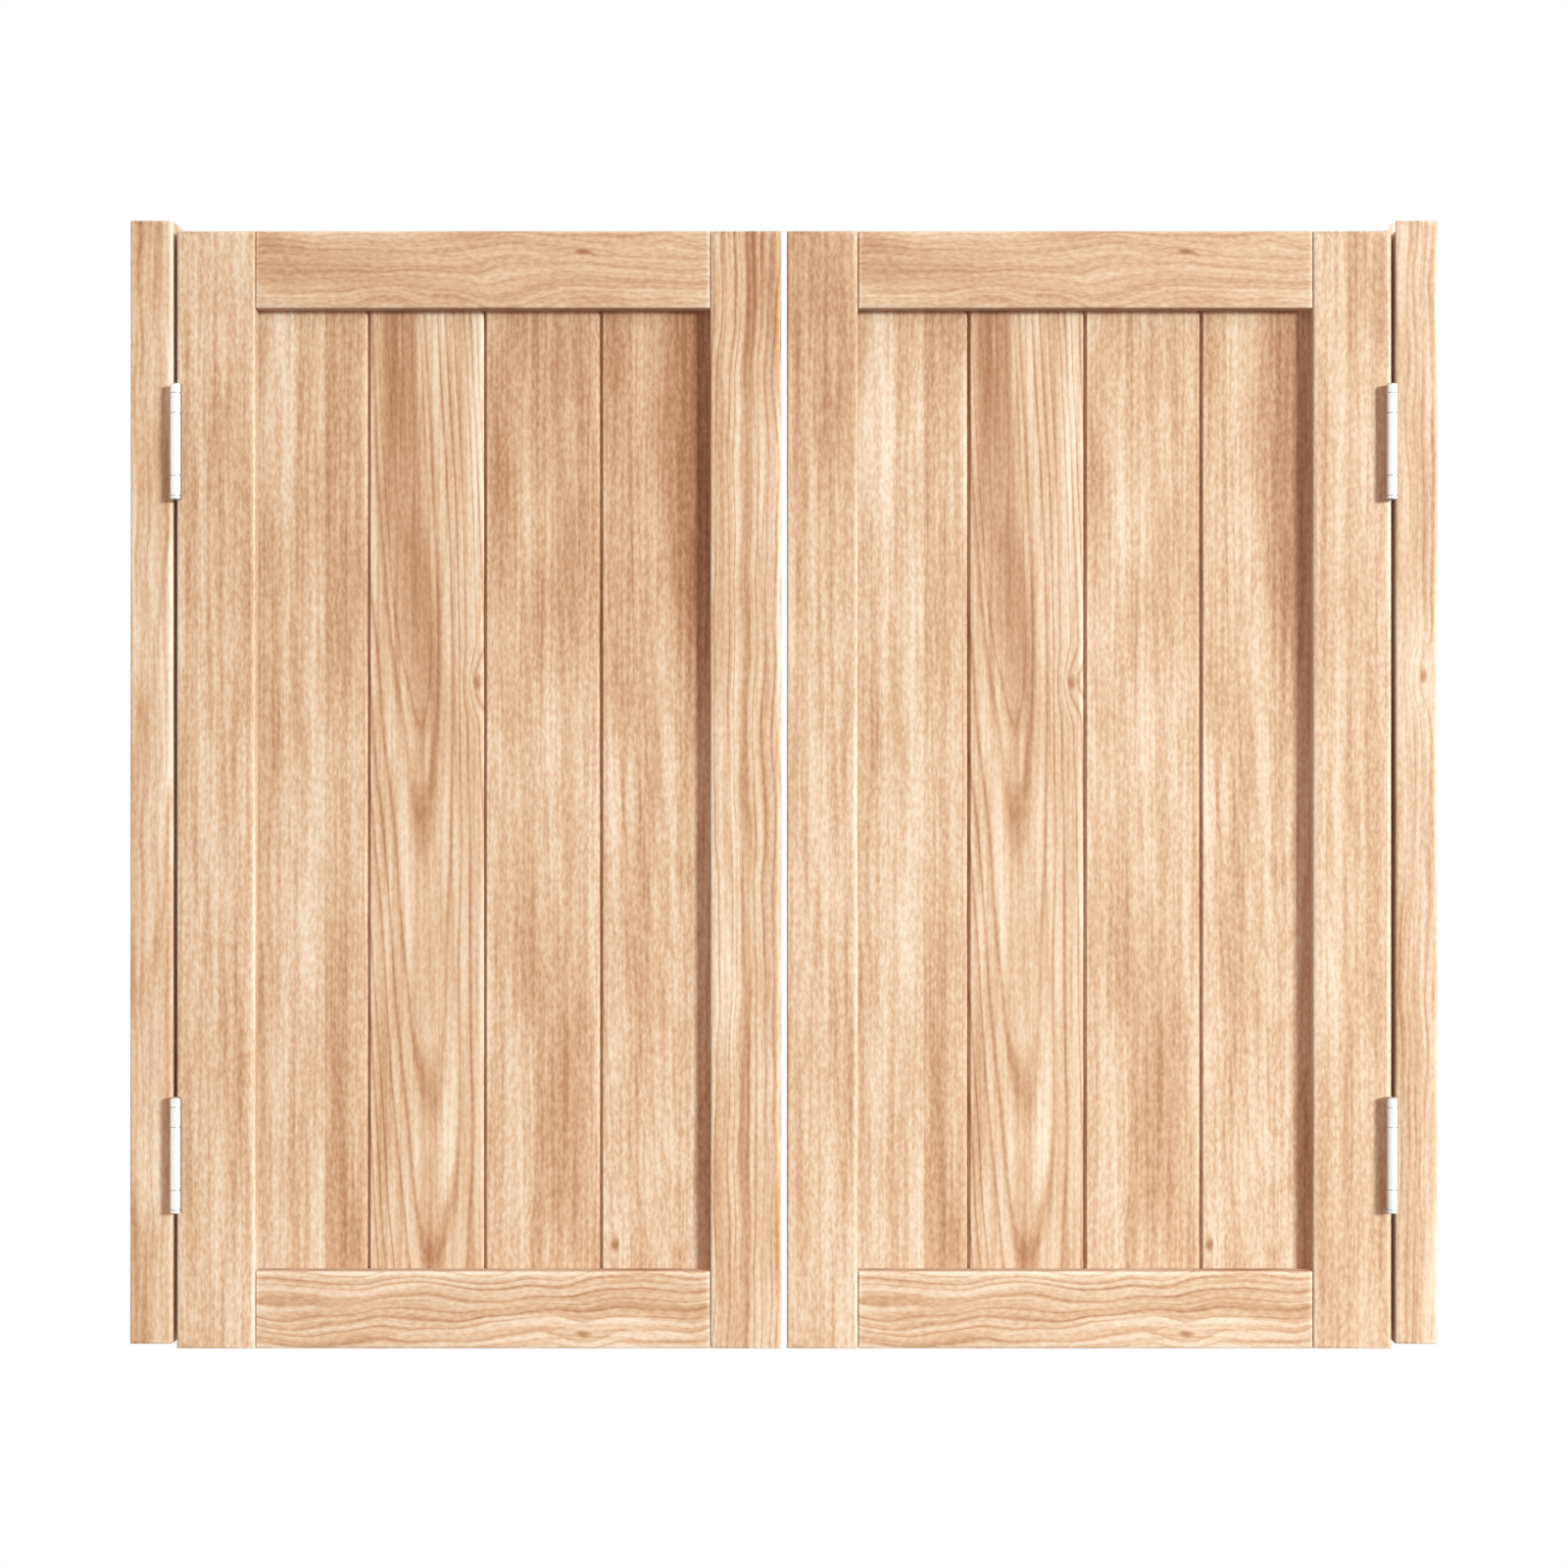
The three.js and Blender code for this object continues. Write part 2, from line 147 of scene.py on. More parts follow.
def combine(piece, operation, forms):
    """Join forms to a piece, or cut them out of it, and keep the result as plain mesh."""
    tools = [new_piece("tool", form) for form in forms]
    for tool in tools:
        boolean = piece.modifiers.new("combine", "BOOLEAN")
        boolean.operation = operation
        boolean.solver = "EXACT"
        boolean.object = tool
    result = piece.evaluated_get(bpy.context.evaluated_depsgraph_get())
    piece.data = bpy.data.meshes.new_from_object(result)
    piece.data.name = piece.name
    piece.modifiers.clear()
    for tool in tools:
        bpy.data.objects.remove(tool)


def smooth(mesh):
    """Smooth shading between faces that meet at less than the sharp angle."""
    mesh.polygons.foreach_set("use_smooth", [True] * len(mesh.polygons))
    mesh.set_sharp_from_angle(angle=math.radians(sharp_angle))


def keep_flats(piece):
    """Keep large faces flat in the light, although the edges between them are smooth."""
    flats = piece.modifiers.new("true_flats", "WEIGHTED_NORMAL")
    flats.keep_sharp = True


def ease_edges(piece, width, above):
    """Take the sharpness off every edge that turns by more than a given angle."""
    easing = piece.modifiers.new("eased_edges", "BEVEL")
    easing.width = width * mm
    easing.segments = easing_steps
    easing.limit_method = "ANGLE"
    easing.angle_limit = math.radians(above)


# %% [markdown]
# ## The plan of one side
# The right-hand side is the left-hand side turned half round, so each piece is drawn once, on the
# left. The main edges come from the CAD solids, and only the sizes that a box can't give are named.

# %% Measure the left-hand side
sides = {"left": Matrix.Identity(4), "right": Matrix.Rotation(math.pi, 4, "Z")}


def corners(node):
    """The lowest and highest corner of a CAD solid, in millimetres."""
    low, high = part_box(node)
    return low / mm, high / mm


jamb_low, jamb_high = corners("left_jamb_post")
hinge_stile_low, hinge_stile_high = corners("left_hinge_stile")
meeting_stile_low, meeting_stile_high = corners("left_meeting_stile")
half_thickness = jamb_high.y
leaf_height = hinge_stile_high.z
rail_height = corners("left_bottom_rail")[1].z
opening_left = hinge_stile_high.x
opening_right = meeting_stile_low.x
gap_middle = (jamb_high.x + hinge_stile_low.x) / 2
hinge_gap = hinge_stile_low.x - jamb_high.x
print(f"opening for the panel {opening_right - opening_left:.1f} mm, hinge gap {hinge_gap:.1f} mm")

# %% [markdown]
# ## The hinge's levels
# Each hinge stands in the gap between jamb post and leaf. Its two barrels are made of stacked
# knuckles: a foot, a flange knuckle, the long knuckle of the centre web, a second flange knuckle and
# the tension cap. Levels are counted from the middle of the hinge. The timber needs them too, for the
# pockets that take the flanges.

# %% Hinge levels and sizes
barrel_radius = 5
bore_radius = 4
plate = 1
flange_reach = 32
flange_let_in = 0.3
flange_back = hinge_gap / 2 + flange_let_in
flange_face = flange_back - plate
barrel_offset = barrel_radius - flange_back
barrel_top = 50
foot_top = -47
cap_bottom = 42
running_gap = 0.3
flange_knuckle = 17
seat_gap = 0.3
lower_knuckle = (foot_top + running_gap, foot_top + running_gap + flange_knuckle)
upper_knuckle = (cap_bottom - running_gap - flange_knuckle, cap_bottom - running_gap)
web_knuckle = (lower_knuckle[1] + running_gap, upper_knuckle[0] - running_gap)
web_high = corners("left_upper_center_web")[1]
barrel_reach = web_high.y - barrel_radius
hinge_heights = {}
for level in ("upper", "lower"):
    cap_high = corners(f"left_{level}_jamb_tension_cap")[1]
    hinge_heights[level] = cap_high.z - barrel_top
print("hinge middles in mm:", {level: round(z, 1) for level, z in hinge_heights.items()})


def flange_pockets(side):
    """Shallow pockets for two flanges, in the jamb's edge for side -1 and in the leaf's for side 1."""
    face = gap_middle + side * hinge_gap / 2
    past_face = face - side * past
    past_edge = side * (half_thickness + past)
    floor = face + side * (flange_let_in + seat_gap)
    far_end = side * (half_thickness - flange_reach - seat_gap)
    pockets = []
    for height in hinge_heights.values():
        bottom = height + lower_knuckle[0] - seat_gap
        top = height + upper_knuckle[1] + seat_gap
        pockets.append(block((past_face, past_edge, bottom), (floor, far_end, top)))
    return pockets


# %% [markdown]
# ## Frame timber
# Jamb posts, stiles and rails are planed timber, eased all round their front and back by a wide and
# shallow curve. Light from the right fills those curves with the bright strips that the real doors
# show along every plank. An equal bevel would turn too steep and give dark strips on the other side,
# so the form is drawn as a stack of outlines that follows a quarter of an ellipse. The edges through
# the thickness are hardly broken at all, so that the rails meet the stiles without a notch.

# %% Dressed timber
arris_width = 4.5
arris_depth = 1.8
arris_steps = 6
corner_break = 0.6
corner_angle = 60


def eased_levels():
    """How far the outline lies inside the timber's edge at each level below its face."""
    for step in range(arris_steps + 1):
        angle = math.pi / 2 * step / arris_steps
        yield arris_width * (1 - math.sin(angle)), arris_depth * (1 - math.cos(angle))


def dressed_timber(name, low, high):
    """A length of planed timber with its front and its back eased all round."""
    front = [(inset, -half_thickness + depth) for inset, depth in eased_levels()]
    back = [(inset, -y) for inset, y in reversed(front)]
    form = bmesh.new()
    outlines = []
    for inset, y in front + back:
        left, right = low[0] + inset, high[0] - inset
        foot, head = low[2] + inset, high[2] - inset
        spots = [(left, foot), (right, foot), (right, head), (left, head)]
        outlines.append([form.verts.new((x, y, z)) for x, z in spots])
    for nearer, farther in zip(outlines, outlines[1:]):
        for corner in range(4):
            form.faces.new((nearer[corner - 1], nearer[corner], farther[corner], farther[corner - 1]))
    form.faces.new(outlines[0])
    form.faces.new(outlines[-1])
    piece = new_piece(name, form)
    ease_edges(piece, corner_break, above=corner_angle)
    return piece


print(f"arrises {arris_width} mm wide and {arris_depth} mm deep")


# %% [markdown]
# ## Joinery
# The frame of each leaf holds together by stub tenons in mortises, and a groove all round takes the
# panel. None of this shows while the doors are shut, but the seams that it leaves do. The jamb posts
# have sunk holes for the screws that hold them to the wall.

# %% Jamb posts, stiles and rails
wall_hole_radius = 2.75
wall_head_radius = 5.5
wall_head_depth = 12
wall_hole_inset = 70
tenon_half = 6
tenon_length = 40
tenon_shoulder = 12
panel_half = 6
panel_groove = 9
wood_gap = 0.3


def bolt_hole(start_x, end_x, z, radius):
    """A round hole along X, through the middle of the timber's thickness."""
    length = end_x - start_x
    form = turned([(0, 0), (radius, 0), (radius, length), (0, length)])
    lie_along_x = Matrix.Rotation(math.pi / 2, 4, "Y")
    form.transform(Matrix.Translation((start_x, 0, z)) @ lie_along_x)
    return form


def jamb_post(name):
    piece = dressed_timber(name, jamb_low, jamb_high)
    cuts = flange_pockets(-1)
    middle = (jamb_low.z + jamb_high.z) / 2
    for z in (jamb_low.z + wall_hole_inset, middle, jamb_high.z - wall_hole_inset):
        cuts.append(bolt_hole(jamb_low.x - past, jamb_high.x, z, wall_hole_radius))
        cuts.append(bolt_hole(jamb_high.x - wall_head_depth, jamb_high.x + past, z, wall_head_radius))
    combine(piece, "DIFFERENCE", cuts)
    return piece


def stile_joints(inner_edge, side):
    """The panel groove and the two mortises of a stile whose inner edge faces side."""
    mouth = inner_edge + side * past
    groove_half = panel_half + wood_gap
    mortise_half = tenon_half + wood_gap
    cuts = [block(
        (mouth, -groove_half, rail_height - panel_groove),
        (inner_edge - side * panel_groove, groove_half, leaf_height - rail_height + panel_groove),
    )]
    mortise_floor = inner_edge - side * (tenon_length + wood_gap)
    for rail_foot in (0, leaf_height - rail_height):
        bottom = rail_foot + tenon_shoulder - wood_gap
        top = rail_foot + rail_height - tenon_shoulder + wood_gap
        cuts.append(block((mouth, -mortise_half, bottom), (mortise_floor, mortise_half, top)))
    return cuts


def hinge_stile(name):
    piece = dressed_timber(name, hinge_stile_low, hinge_stile_high)
    combine(piece, "DIFFERENCE", stile_joints(opening_left, 1) + flange_pockets(1))
    return piece


def meeting_stile(name):
    piece = dressed_timber(name, meeting_stile_low, meeting_stile_high)
    combine(piece, "DIFFERENCE", stile_joints(opening_right, -1))
    return piece


def rail(name, foot, panel_edge):
    """A rail with a tenon at each end and a groove for the panel along one edge."""
    head = foot + rail_height
    left = opening_left + wood_gap
    right = opening_right - wood_gap
    piece = dressed_timber(name, (left, -half_thickness, foot), (right, half_thickness, head))
    tenons = block(
        (opening_left - tenon_length, -tenon_half, foot + tenon_shoulder),
        (opening_right + tenon_length, tenon_half, head - tenon_shoulder),
    )
    into_rail = -1 if panel_edge == head else 1
    groove_half = panel_half + wood_gap
    groove = block(
        (left - past, -groove_half, panel_edge - into_rail * past),
        (right + past, groove_half, panel_edge + into_rail * panel_groove),
    )
    combine(piece, "UNION", [tenons])
    combine(piece, "DIFFERENCE", [groove])
    return piece


def bottom_rail(name):
    return rail(name, 0, rail_height)


def top_rail(name):
    return rail(name, leaf_height - rail_height, leaf_height - rail_height)


print(f"tenons {2 * tenon_half} mm thick and {tenon_length} mm long")

# %% [markdown]
# ## Panel boards
# The panel is four tongue-and-groove boards with a small chamfer on each joint edge, so that two
# boards meet in a V. The outline is drawn once from above and drawn up to the height of the panel.
# A fine bevel then takes the sharpness off, which turns each V into a soft dark line.

# %% Panel boards
board_count = 4
tongue_length = 5
tongue_half = 2
vee = 2.5
board_easing = 0.4
board_angle = 30


def board_outline(left, right, has_groove, has_tongue):
    """A board seen from above, with its groove on the left and its tongue on the right."""
    slot_half = tongue_half + wood_gap
    slot_end = left + tongue_length + wood_gap
    tongue_end = right + tongue_length
    face = panel_half
    right_edge = [(right, -face), (right, face)]
    left_edge = [(left, face), (left, -face)]
    if has_tongue:
        joint = [(right, vee - face), (right, -tongue_half), (tongue_end, -tongue_half)]
        front = [(right - vee, -face)] + joint
        right_edge = front + [(x, -y) for x, y in reversed(front)]
    if has_groove:
        back = [(left + vee, face), (left, face - vee), (left, slot_half), (slot_end, slot_half)]
        left_edge = back + [(x, -y) for x, y in reversed(back)]
    return right_edge + left_edge


def panel_board(name, number):
    """The board with the given number, counted from the hinge stile."""
    low, high = corners(f"left_panel_board_{number}")
    has_groove = number > 1
    has_tongue = number < board_count
    right = high.x - tongue_length if has_tongue else high.x
    outline = board_outline(low.x, right, has_groove, has_tongue)
    piece = new_piece(name, drawn_up(outline, low.z, high.z))
    ease_edges(piece, board_easing, above=board_angle)
    return piece


print(f"{board_count} boards to a panel, about {(opening_right - opening_left) / board_count:.1f} mm each")


# %% [markdown]
# ## Hinge pieces
# A double-action spring hinge has two barrels joined by a web. The jamb's flange carries one barrel
# and the leaf's flange the other, so the leaf folds about the front barrel when it is pulled and about
# the back one when it is pushed. Every knuckle is a turned form with its end edges broken, because
# those fine rings are what tells the eye that the barrel is a stack of separate sleeves.

# %% Knuckles
knuckle_break = 0.35


def sleeve(y, levels):
    """A solid knuckle on a barrel's axis, with both end edges broken."""
    bottom, top = levels
    shoulder = barrel_radius - knuckle_break
    form = turned([
        (0, bottom),
        (shoulder, bottom),
        (barrel_radius, bottom + knuckle_break),
        (barrel_radius, top - knuckle_break),
        (shoulder, top),
        (0, top),
    ])
    bmesh.ops.translate(form, vec=(barrel_offset, y, 0), verts=form.verts)
    return form


def bore(y, levels):
    """The bore through a stack of knuckles, drawn past both ends."""
    bottom, top = levels[0] - past, levels[1] + past
    form = turned([(0, bottom), (bore_radius, bottom), (bore_radius, top), (0, top)])
    bmesh.ops.translate(form, vec=(barrel_offset, y, 0), verts=form.verts)
    return form


print(f"barrels {2 * barrel_radius} mm across and {2 * barrel_top} mm long")

# %% [markdown]
# Each flange is a plate with a knuckle at either end of its edge. A window between them lets the web
# turn, and a notch takes the tooth of the tension cap. Three screws in countersunk holes hold it.

# %% Flanges and web
tooth_half = 0.8
tooth_depth = 2
screw_radius = 1.75
screw_head = 3.4
screw_cone = 2
screw_edge = 10
screw_clearance = 0.15


def screw_places(side):
    """Where a flange's three screws go: two near the barrel and one beyond, in the hinge's frame."""
    near = side * (half_thickness - screw_edge)
    far = side * (half_thickness - flange_reach + screw_edge)
    bottom, top = lower_knuckle[0] + screw_edge, upper_knuckle[1] - screw_edge
    places = []
    for y, z in ((near, bottom), (near, top), (far, (bottom + top) / 2)):
        facing = Matrix.Rotation(-side * math.pi / 2, 4, "Y")
        places.append(Matrix.Translation((side * flange_face, y, z)) @ facing)
    return places


def screw_hole(place):
    """A countersunk hole, a little wider than its screw and drawn past both faces of the plate."""
    slope = (screw_head - screw_radius) / screw_cone
    form = turned([
        (0, -screw_cone),
        (screw_radius + screw_clearance, -screw_cone),
        (screw_head + screw_clearance + slope * past, past),
        (0, past),
    ])
    form.transform(place)
    return form


def flange(name, side):
    """A flange with its two knuckles: the jamb's for side -1, the leaf's for side 1."""
    face = side * flange_face
    back = side * flange_back
    axis_y = side * barrel_reach
    far_end = side * (half_thickness - flange_reach)
    levels = (lower_knuckle[0], upper_knuckle[1])
    piece = new_piece(name, block((face, axis_y, levels[0]), (back, far_end, levels[1])))
    web_window = block(
        (face - side * past, side * half_thickness, lower_knuckle[1]),
        (back + side * past, axis_y + side * past, upper_knuckle[0]),
    )
    notch_half = tooth_half + running_gap
    tooth_notch = block(
        (barrel_offset, axis_y - notch_half, levels[1] - tooth_depth),
        (barrel_offset + barrel_radius + past, axis_y + notch_half, levels[1] + past),
    )
    combine(piece, "DIFFERENCE", [web_window])
    combine(piece, "UNION", [sleeve(axis_y, lower_knuckle), sleeve(axis_y, upper_knuckle)])
    holes = [screw_hole(place) for place in screw_places(side)]
    combine(piece, "DIFFERENCE", [bore(axis_y, levels), tooth_notch] + holes)
    return piece


def center_web(name):
    half_plate = plate / 2
    web = block(
        (-half_plate, -half_thickness, lower_knuckle[0]),
        (half_plate, half_thickness, upper_knuckle[1]),
    )
    necks = block(
        (-half_plate, -barrel_reach, web_knuckle[0]),
        (half_plate, barrel_reach, web_knuckle[1]),
    )
    piece = new_piece(name, web)
    sleeves = [sleeve(y, web_knuckle) for y in (-barrel_reach, barrel_reach)]
    combine(piece, "UNION", [necks] + sleeves)
    combine(piece, "DIFFERENCE", [bore(y, web_knuckle) for y in (-barrel_reach, barrel_reach)])
    return piece


print(f"flanges {plate} mm thick, let in by {flange_let_in} mm")

# %% [markdown]
# ## Spindles, caps and screws
# A spindle closes the foot of each barrel and its rod carries the closing spring. The tension cap
# closes the top: a hexagon key in its socket winds the spring, and a tooth then locks it. The wood
# screws have a shallow oval head with a cross recess, which shows when a leaf stands open.

# %% Spindles, caps and screws
edge_break = 0.8
plug_radius = 3.8
plug_grip = 3
rod_radius = 1.4
rod_bore = 1.55
socket_radius = 2.3
socket_depth = 4
tooth_overlap = 0.2
screw_length = 22
screw_tip = 6
tip_fullness = 0.6
screw_rise = 0.3
head_curve = [(0.75, 0.55), (0.45, 0.9)]
recess_arm = 2.2
recess_half = 0.5
recess_depth = 1.3
recess_taper = 0.5


def spindle(name):
    form = turned([
        (0, -barrel_top),
        (barrel_radius - edge_break, -barrel_top),
        (barrel_radius, -barrel_top + edge_break),
        (barrel_radius, foot_top - knuckle_break),
        (barrel_radius - knuckle_break, foot_top),
        (plug_radius, foot_top),
        (plug_radius, web_knuckle[0] + plug_grip),
        (rod_radius, web_knuckle[0] + plug_grip),
        (rod_radius, upper_knuckle[1] - running_gap),
        (0, upper_knuckle[1] - running_gap),
    ])
    return new_piece(name, form)


def tension_cap(name):
    plug_bottom = web_knuckle[1] - plug_grip
    form = turned([
        (0, upper_knuckle[1]),
        (rod_bore, upper_knuckle[1]),
        (rod_bore, plug_bottom),
        (plug_radius, plug_bottom),
        (plug_radius, cap_bottom),
        (barrel_radius - knuckle_break, cap_bottom),
        (barrel_radius, cap_bottom + knuckle_break),
        (barrel_radius, barrel_top - edge_break),
        (barrel_radius - edge_break, barrel_top),
        (0, barrel_top),
    ])
    piece = new_piece(name, form)
    socket_bottom = barrel_top - socket_depth
    past_top = barrel_top + past
    socket = turned(
        [(0, socket_bottom), (socket_radius, socket_bottom), (socket_radius, past_top), (0, past_top)],
        sides=6,
    )
    tooth = block(
        (plug_radius - tooth_overlap, -tooth_half, upper_knuckle[1] - tooth_depth + running_gap),
        (barrel_radius - tooth_overlap, tooth_half, cap_bottom + tooth_overlap),
    )
    combine(piece, "UNION", [tooth])
    combine(piece, "DIFFERENCE", [socket])
    return piece


def wood_screw(name):
    """A screw that points down -Z, with the rim of its head at height 0."""
    dome = [(screw_head * share_out, screw_rise * share_up) for share_out, share_up in head_curve]
    form = turned([
        (0, -screw_length),
        (screw_radius * tip_fullness, -screw_length + screw_tip / 2),
        (screw_radius, -screw_length + screw_tip),
        (screw_radius, -screw_cone),
        (screw_head, 0),
        *dome,
        (0, screw_rise),
    ])
    piece = new_piece(name, form)
    arms = []
    for reach_x, reach_y in ((recess_arm, recess_half), (recess_half, recess_arm)):
        arm = block((-reach_x, -reach_y, screw_rise - recess_depth), (reach_x, reach_y, screw_rise + past))
        for corner in arm.verts:
            if corner.co.z < 0:
                corner.co.x *= recess_taper
                corner.co.y *= recess_taper
        arms.append(arm)
    combine(piece, "DIFFERENCE", arms)
    return piece


print(f"screws {screw_length} mm long, with heads {2 * screw_head} mm across")

# %% [markdown]
# ## Closing springs
# A closing spring is a long coil of round wire that is twisted when its barrel turns. It hides inside
# the barrel, round the spindle's rod. A ring of points carried along a helix makes the wire.

# %% Closing springs
coil_radius = 2.7
wire_radius = 0.7
wire_sides = 8
coils = 24
coil_steps = 20
spring_room = 1
spring_bottom = web_knuckle[0] + plug_grip + spring_room
spring_top = web_knuckle[1] - plug_grip - spring_room


def closing_spring(name):
    form = bmesh.new()
    steps = coils * coil_steps
    rings = []
    for step in range(steps + 1):
        turn = 2 * math.pi * step / coil_steps
        height = spring_bottom + (spring_top - spring_bottom) * step / steps
        ring = []
        for side in range(wire_sides):
            angle = 2 * math.pi * side / wire_sides
            reach = coil_radius + wire_radius * math.cos(angle)
            rise = height + wire_radius * math.sin(angle)
            ring.append(form.verts.new((reach * math.cos(turn), reach * math.sin(turn), rise)))
        rings.append(ring)
    for lower, upper in zip(rings, rings[1:]):
        for side in range(wire_sides):
            following = (side + 1) % wire_sides
            form.faces.new((lower[side], lower[following], upper[following], upper[side]))
    form.faces.new(rings[0])
    form.faces.new(rings[-1])
    return new_piece(name, form)


print(f"{coils} coils, {(spring_top - spring_bottom) / coils:.2f} mm apart")

# %% [markdown]
# ## Colours and nodes
# Colours are written as sRGB hex values, as a picture editor shows them, and turned to the linear
# values that shaders use. One helper adds a node with its settings and links, so that each finish
# below reads as a list of what it is made of.


# %% Colour and node helpers
def linear(hex_colour):
    """The linear red, green, blue and alpha of an sRGB hex colour."""
    channels = [int(hex_colour[i:i + 2], 16) / 255 for i in (1, 3, 5)]
    return tuple(c / 12.92 if c <= 0.04045 else ((c + 0.055) / 1.055) ** 2.4 for c in channels) + (1,)


def add_node(tree, kind, inputs=None, stops=None, **settings):
    """Add a node, set its properties, and feed each input a socket or a plain value."""
    node = tree.nodes.new(kind)
    for setting, value in settings.items():
        setattr(node, setting, value)
    for socket, source in (inputs or {}).items():
        if isinstance(source, bpy.types.NodeSocket):
            tree.links.new(source, node.inputs[socket])
        else:
            node.inputs[socket].default_value = source
    if stops:
        ramp = node.color_ramp
        while len(ramp.elements) < len(stops):
            ramp.elements.new(0.5)
        for element, (position, colour) in zip(ramp.elements, stops):
            element.position = position
            element.color = colour
    return node


def grey(value):
    return (value, value, value, 1)


def bare_material(name):
    """A new material whose node tree is still empty."""
    material = bpy.data.materials.new(name)
    material.use_nodes = True
    material.node_tree.nodes.clear()
    return material


# %% [markdown]
# ## Oiled oak
# Light oak, planed, sanded and oiled. Four things make it oak to the eye. Growth rings show as long
# lines or as nested arches, depending on how the plank lies to the heart of the log. Darker streaks
# and clouds run with the grain. Open pores speckle it with short dashes. And the oil leaves a soft
# sheen. The pattern here is solid: every ring is a cylinder round the heart of a log, so end grain,
# edges and faces agree. A flat picture of wood could not do that. Real rings lie 2 or 3 mm apart and
# pores are finer than half a millimetre, so both are drawn coarser here, or they would not show. Each
# size below is a width across the grain and a length along it, in millimetres.

# %% A plank's own directions
log_spacing = Vector((37, 11, 23))
wander_size = (60, 90)


def plank_place(tree, solid, lying):
    """Place in millimetres from a plank's corner: X across it, Y through it, Z along the grain."""
    low, high = corners(solid)
    return add_node(tree, "ShaderNodeMapping", {
        "Vector": add_node(tree, "ShaderNodeTexCoord").outputs["Object"],
        "Location": (-low.z, 0, high.x) if lying else (-low.x, 0, -low.z),
        "Rotation": (0, math.pi / 2 if lying else 0, 0),
        "Scale": (1 / mm, 1 / mm, 1 / mm),
    }).outputs["Vector"]


def grain(tree, place, log, width, length, detail=1):
    """Noise with spots of a given width, drawn out along the grain. Each log has its own."""
    drawn_out = add_node(tree, "ShaderNodeMapping", {
        "Vector": place,
        "Location": log_spacing * log,
        "Scale": (1 / width, 1 / width, 1 / length),
    }).outputs["Vector"]
    return add_node(tree, "ShaderNodeTexNoise", {"Vector": drawn_out, "Scale": 1, "Detail": detail}).outputs


def wandering(tree, place, log, reach):
    """Let the grain wander across a plank, as it does near a branch or a root."""
    start = add_node(tree, "ShaderNodeMapping", {"Vector": place, "Location": (-reach / 2, 0, 0)})
    return add_node(tree, "ShaderNodeVectorMath", {
        0: grain(tree, place, log, *wander_size)["Color"],
        1: (reach, 0, 0),
        2: start.outputs["Vector"],
    }, operation="MULTIPLY_ADD").outputs["Vector"]


# %% [markdown]
# A ring's number is its distance from the heart of the log, divided by the width of a ring. The heart
# sways a little and may lean, so that it comes nearer to the face as it goes up. Where it lies just
# under the face, the rings open into arches and the dark heartwood shows through. Round a pin knot,
# which is the root of a tiny twig, the rings swell outwards.

# %% Growth rings
ring_width = 7
sway = 14
sway_size = (55, 380)
knot_swelling = 8
knot_reach = 20
knot_stretch = 2
season_change = 0.45
season_spread = 2.4
year_of_growth = [(0, 0.3), (0.07, 0), (0.26, 0.75), (0.7, 1), (0.9, 0.85), (1, 0.3)]


def distance_from_heart(tree, place, log, cut):
    """Distance from the swaying heart of the log, which lies at the pith and leans."""
    pith = cut["pith"]
    swaying = add_node(tree, "ShaderNodeVectorMath", {
        0: grain(tree, place, log, *sway_size, detail=2)["Color"],
        1: (sway, sway, 0),
        2: place,
    }, operation="MULTIPLY_ADD").outputs["Vector"]
    from_heart = add_node(tree, "ShaderNodeMapping", {
        "Vector": swaying,
        "Location": (-pith[0] - sway / 2, -pith[1] - sway / 2, 0),
        "Rotation": (-math.radians(cut["lean"]), math.radians(cut.get("side_lean", 0)), 0),
    }).outputs["Vector"]
    level = add_node(tree, "ShaderNodeVectorMath", {
        0: from_heart,
        1: (1, 1, 0),
    }, operation="MULTIPLY").outputs["Vector"]
    return add_node(tree, "ShaderNodeVectorMath", {0: level}, operation="LENGTH").outputs["Value"]


def distance_from_knot(tree, place, across, along):
    """Distance from a pin knot, which is stretched along the grain."""
    flattened = add_node(tree, "ShaderNodeMapping", {
        "Vector": place,
        "Location": (-across, 0, -along / knot_stretch),
        "Scale": (1, 0, 1 / knot_stretch),
    }).outputs["Vector"]
    return add_node(tree, "ShaderNodeVectorMath", {0: flattened}, operation="LENGTH").outputs["Value"]


def swollen(tree, radius, from_knot):
    """The distance from the heart, as the swelling round a knot changes it."""
    swelling = add_node(tree, "ShaderNodeMapRange", {
        "Value": from_knot,
        "From Max": knot_reach,
        "To Min": knot_swelling,
        "To Max": 0,
    }, interpolation_type="SMOOTHSTEP").outputs["Result"]
    return add_node(tree, "ShaderNodeMath", {0: radius, 1: swelling}, operation="ADD").outputs["Value"]


def ring_lines(tree, radius):
    """From 0 in the dark pores that start a year's growth to 1 in the pale wood that ends it."""
    count = add_node(tree, "ShaderNodeMath", {0: radius, 1: ring_width}, operation="DIVIDE").outputs[0]
    season = add_node(tree, "ShaderNodeTexNoise", {
        "W": count,
        "Scale": season_change,
        "Detail": 1,
    }, noise_dimensions="1D").outputs["Fac"]
    uneven = add_node(tree, "ShaderNodeMath", {
        0: season,
        1: season_spread,
        2: count,
    }, operation="MULTIPLY_ADD")
    phase = add_node(tree, "ShaderNodeMath", {0: uneven.outputs[0]}, operation="FRACT").outputs[0]
    stops = [(share, grey(tone)) for share, tone in year_of_growth]
    return add_node(tree, "ShaderNodeValToRGB", {"Fac": phase}, stops=stops).outputs["Color"]


# %% [markdown]
# The tone of the wood is a sum of layers, from 0 for the darkest to 1 for the palest. A layer goes from
# one tone to another as its own value passes between two limits. These layers follow the grain. The
# rings fade in the dark heartwood, and a pin knot is a small dark spot.

